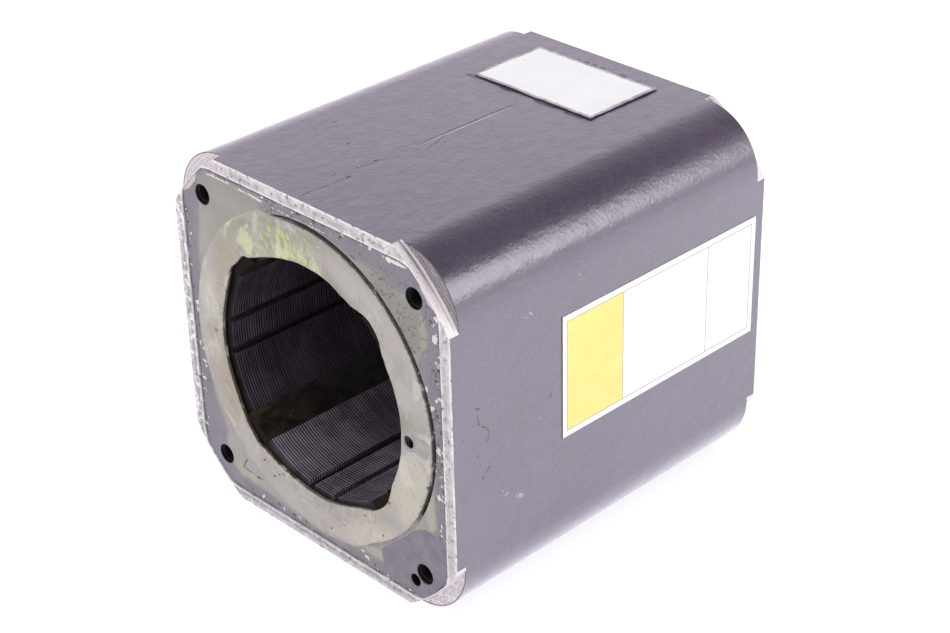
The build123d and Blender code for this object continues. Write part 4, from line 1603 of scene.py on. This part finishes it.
def makePutty(finish):
    # Filler smeared over the corner, thin at its edge, round both holes
    low, high = (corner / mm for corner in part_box("filled_corner"))
    tall = frontFace - low.y
    holes = [(boltHalf, -boltHalf, plates["threadRadius"] + plates["holeChamfer"]), plates["smallHole"]]
    nearest, farthest = plates["openingRadius"] + 0.3, housing["turnedRadius"] - 1.0
    outline = []
    for p in smoothLoop(smallPieces["puttyOutline"], 9):
        p = p + Vector([0.35 * flatRipple(p, 3.1, broad) + 0.15 * flatRipple(p, 1.0, fine)
                        for broad, fine in ((2, 5), (8, 9))])
        outline.append(p * (max(nearest, min(p.length, farthest)) / p.length))
    loops = [outline] + [circlePoints(x, z, radius + 0.12, 44) for x, z, radius in holes]
    loose = loosePoints(8, 2600, (low.x, high.x), (low.z, high.z), outline, holes, 0.3)
    flat, kept = fillLoops(loops, loose, holes)

    def faceAt(p):
        toEdge = min((p - q).length for q in outline)
        swell = 0.72 + 0.2 * flatRipple(p, 7, 5) + 0.1 * flatRipple(p, 2.2, 1)
        rise = tall * swell * smoothStep(toEdge, -0.6, 2.2) * smoothStep(toHoles(p, holes), -0.8, 1.0)
        return frontFace - 0.04 - max(0.0, min(rise, tall - 0.02))

    return sheetMesh("cornerPutty", flat, kept, faceAt, frontFace + 0.1, finish)


def makeCrumbs(finish):
    # Crumbs of resin and paint caught in the groove and along the rim
    draw = random.Random(21)
    points, faces = [], []
    base = bmesh.new()
    bmesh.ops.create_icosphere(base, subdivisions=1, radius=1.0)
    ball = [v.co.copy() for v in base.verts]
    index = {v: i for i, v in enumerate(base.verts)}
    ballFaces = [tuple(index[v] for v in f.verts) for f in base.faces]
    base.free()
    limit = sleeveHigh.x / mm - housing["wall"]
    for _ in range(smallPieces["crumbCount"]):
        kind = draw.random()
        if kind < 0.3:
            angle = math.radians(draw.choice((12, 18, 30, -6, -22, 60)) + draw.gauss(0, 4))
            place = polarPoint(draw.uniform(66.8, 69.4), angle)
        elif kind < 0.6:
            place = polarPoint(draw.uniform(67.0, 70.5), math.radians(draw.uniform(150, 300)))
        else:
            along = draw.uniform(-62, 62)
            place = Vector((along, limit - abs(draw.gauss(0, 0.9)) - 0.2))
            place = Matrix.Rotation(math.radians(90 * draw.randrange(4)), 2) @ place
        size = min(0.5, abs(draw.gauss(0, 0.13)) + 0.08)
        start = len(points)
        stretch = Vector((draw.uniform(0.6, 1.4), draw.uniform(0.4, 0.8), draw.uniform(0.6, 1.4)))
        for p in ball:
            q = Vector((p.x * stretch.x, p.y * stretch.y, p.z * stretch.z)) * size * draw.uniform(0.75, 1.2)
            points.append(Vector((place.x + q.x, frontFace - 0.12 * size + q.y, place.y + q.z)))
        faces += [tuple(start + i for i in f) for f in ballFaces]
    return finishMesh("resinCrumbs", points, faces, [finish], None, 60)


seat(makeNameplate(foilPlate()), "nameplate_foil", "nameplate")
seat(makeLabel(labelVinyl()), "label_vinyl", "side_label")
puttyGrey = plainStained("cornerPuttyGrey", (0.12, 0.108, 0.135), (0.215, 0.192, 0.235), 0.48, 7, 0.12)
seat(makePutty(puttyGrey), "corner_putty", "filled_corner")
crumbResin = plainStained("crumbResin", (0.4, 0.37, 0.33), (0.68, 0.65, 0.6), 0.55, 2.0, 0.05)
seat(makeCrumbs(crumbResin), "potting_resin")
print("labels, putty and crumbs ready")


# What stays from the frame gets its finish

linerBlack = plainStained("linerBlack", (0.008, 0.007, 0.009), (0.02, 0.018, 0.02), 0.5, 5, 0.05)
yokeSteel = plainStained("yokeSteel", (0.03, 0.027, 0.03), (0.06, 0.052, 0.06), 0.5, 8, 0.05, 0.3)


def finishNode(nodeName, material):
    node = frame["nodes"][nodeName]
    node.data.materials.clear()
    node.data.materials.append(material)


for nodeName in frame["nodes"]:
    if nodeName.startswith("slot_liner"):
        finishNode(nodeName, linerBlack)
finishNode("lamination_yoke", yokeSteel)

print("all pieces ready")
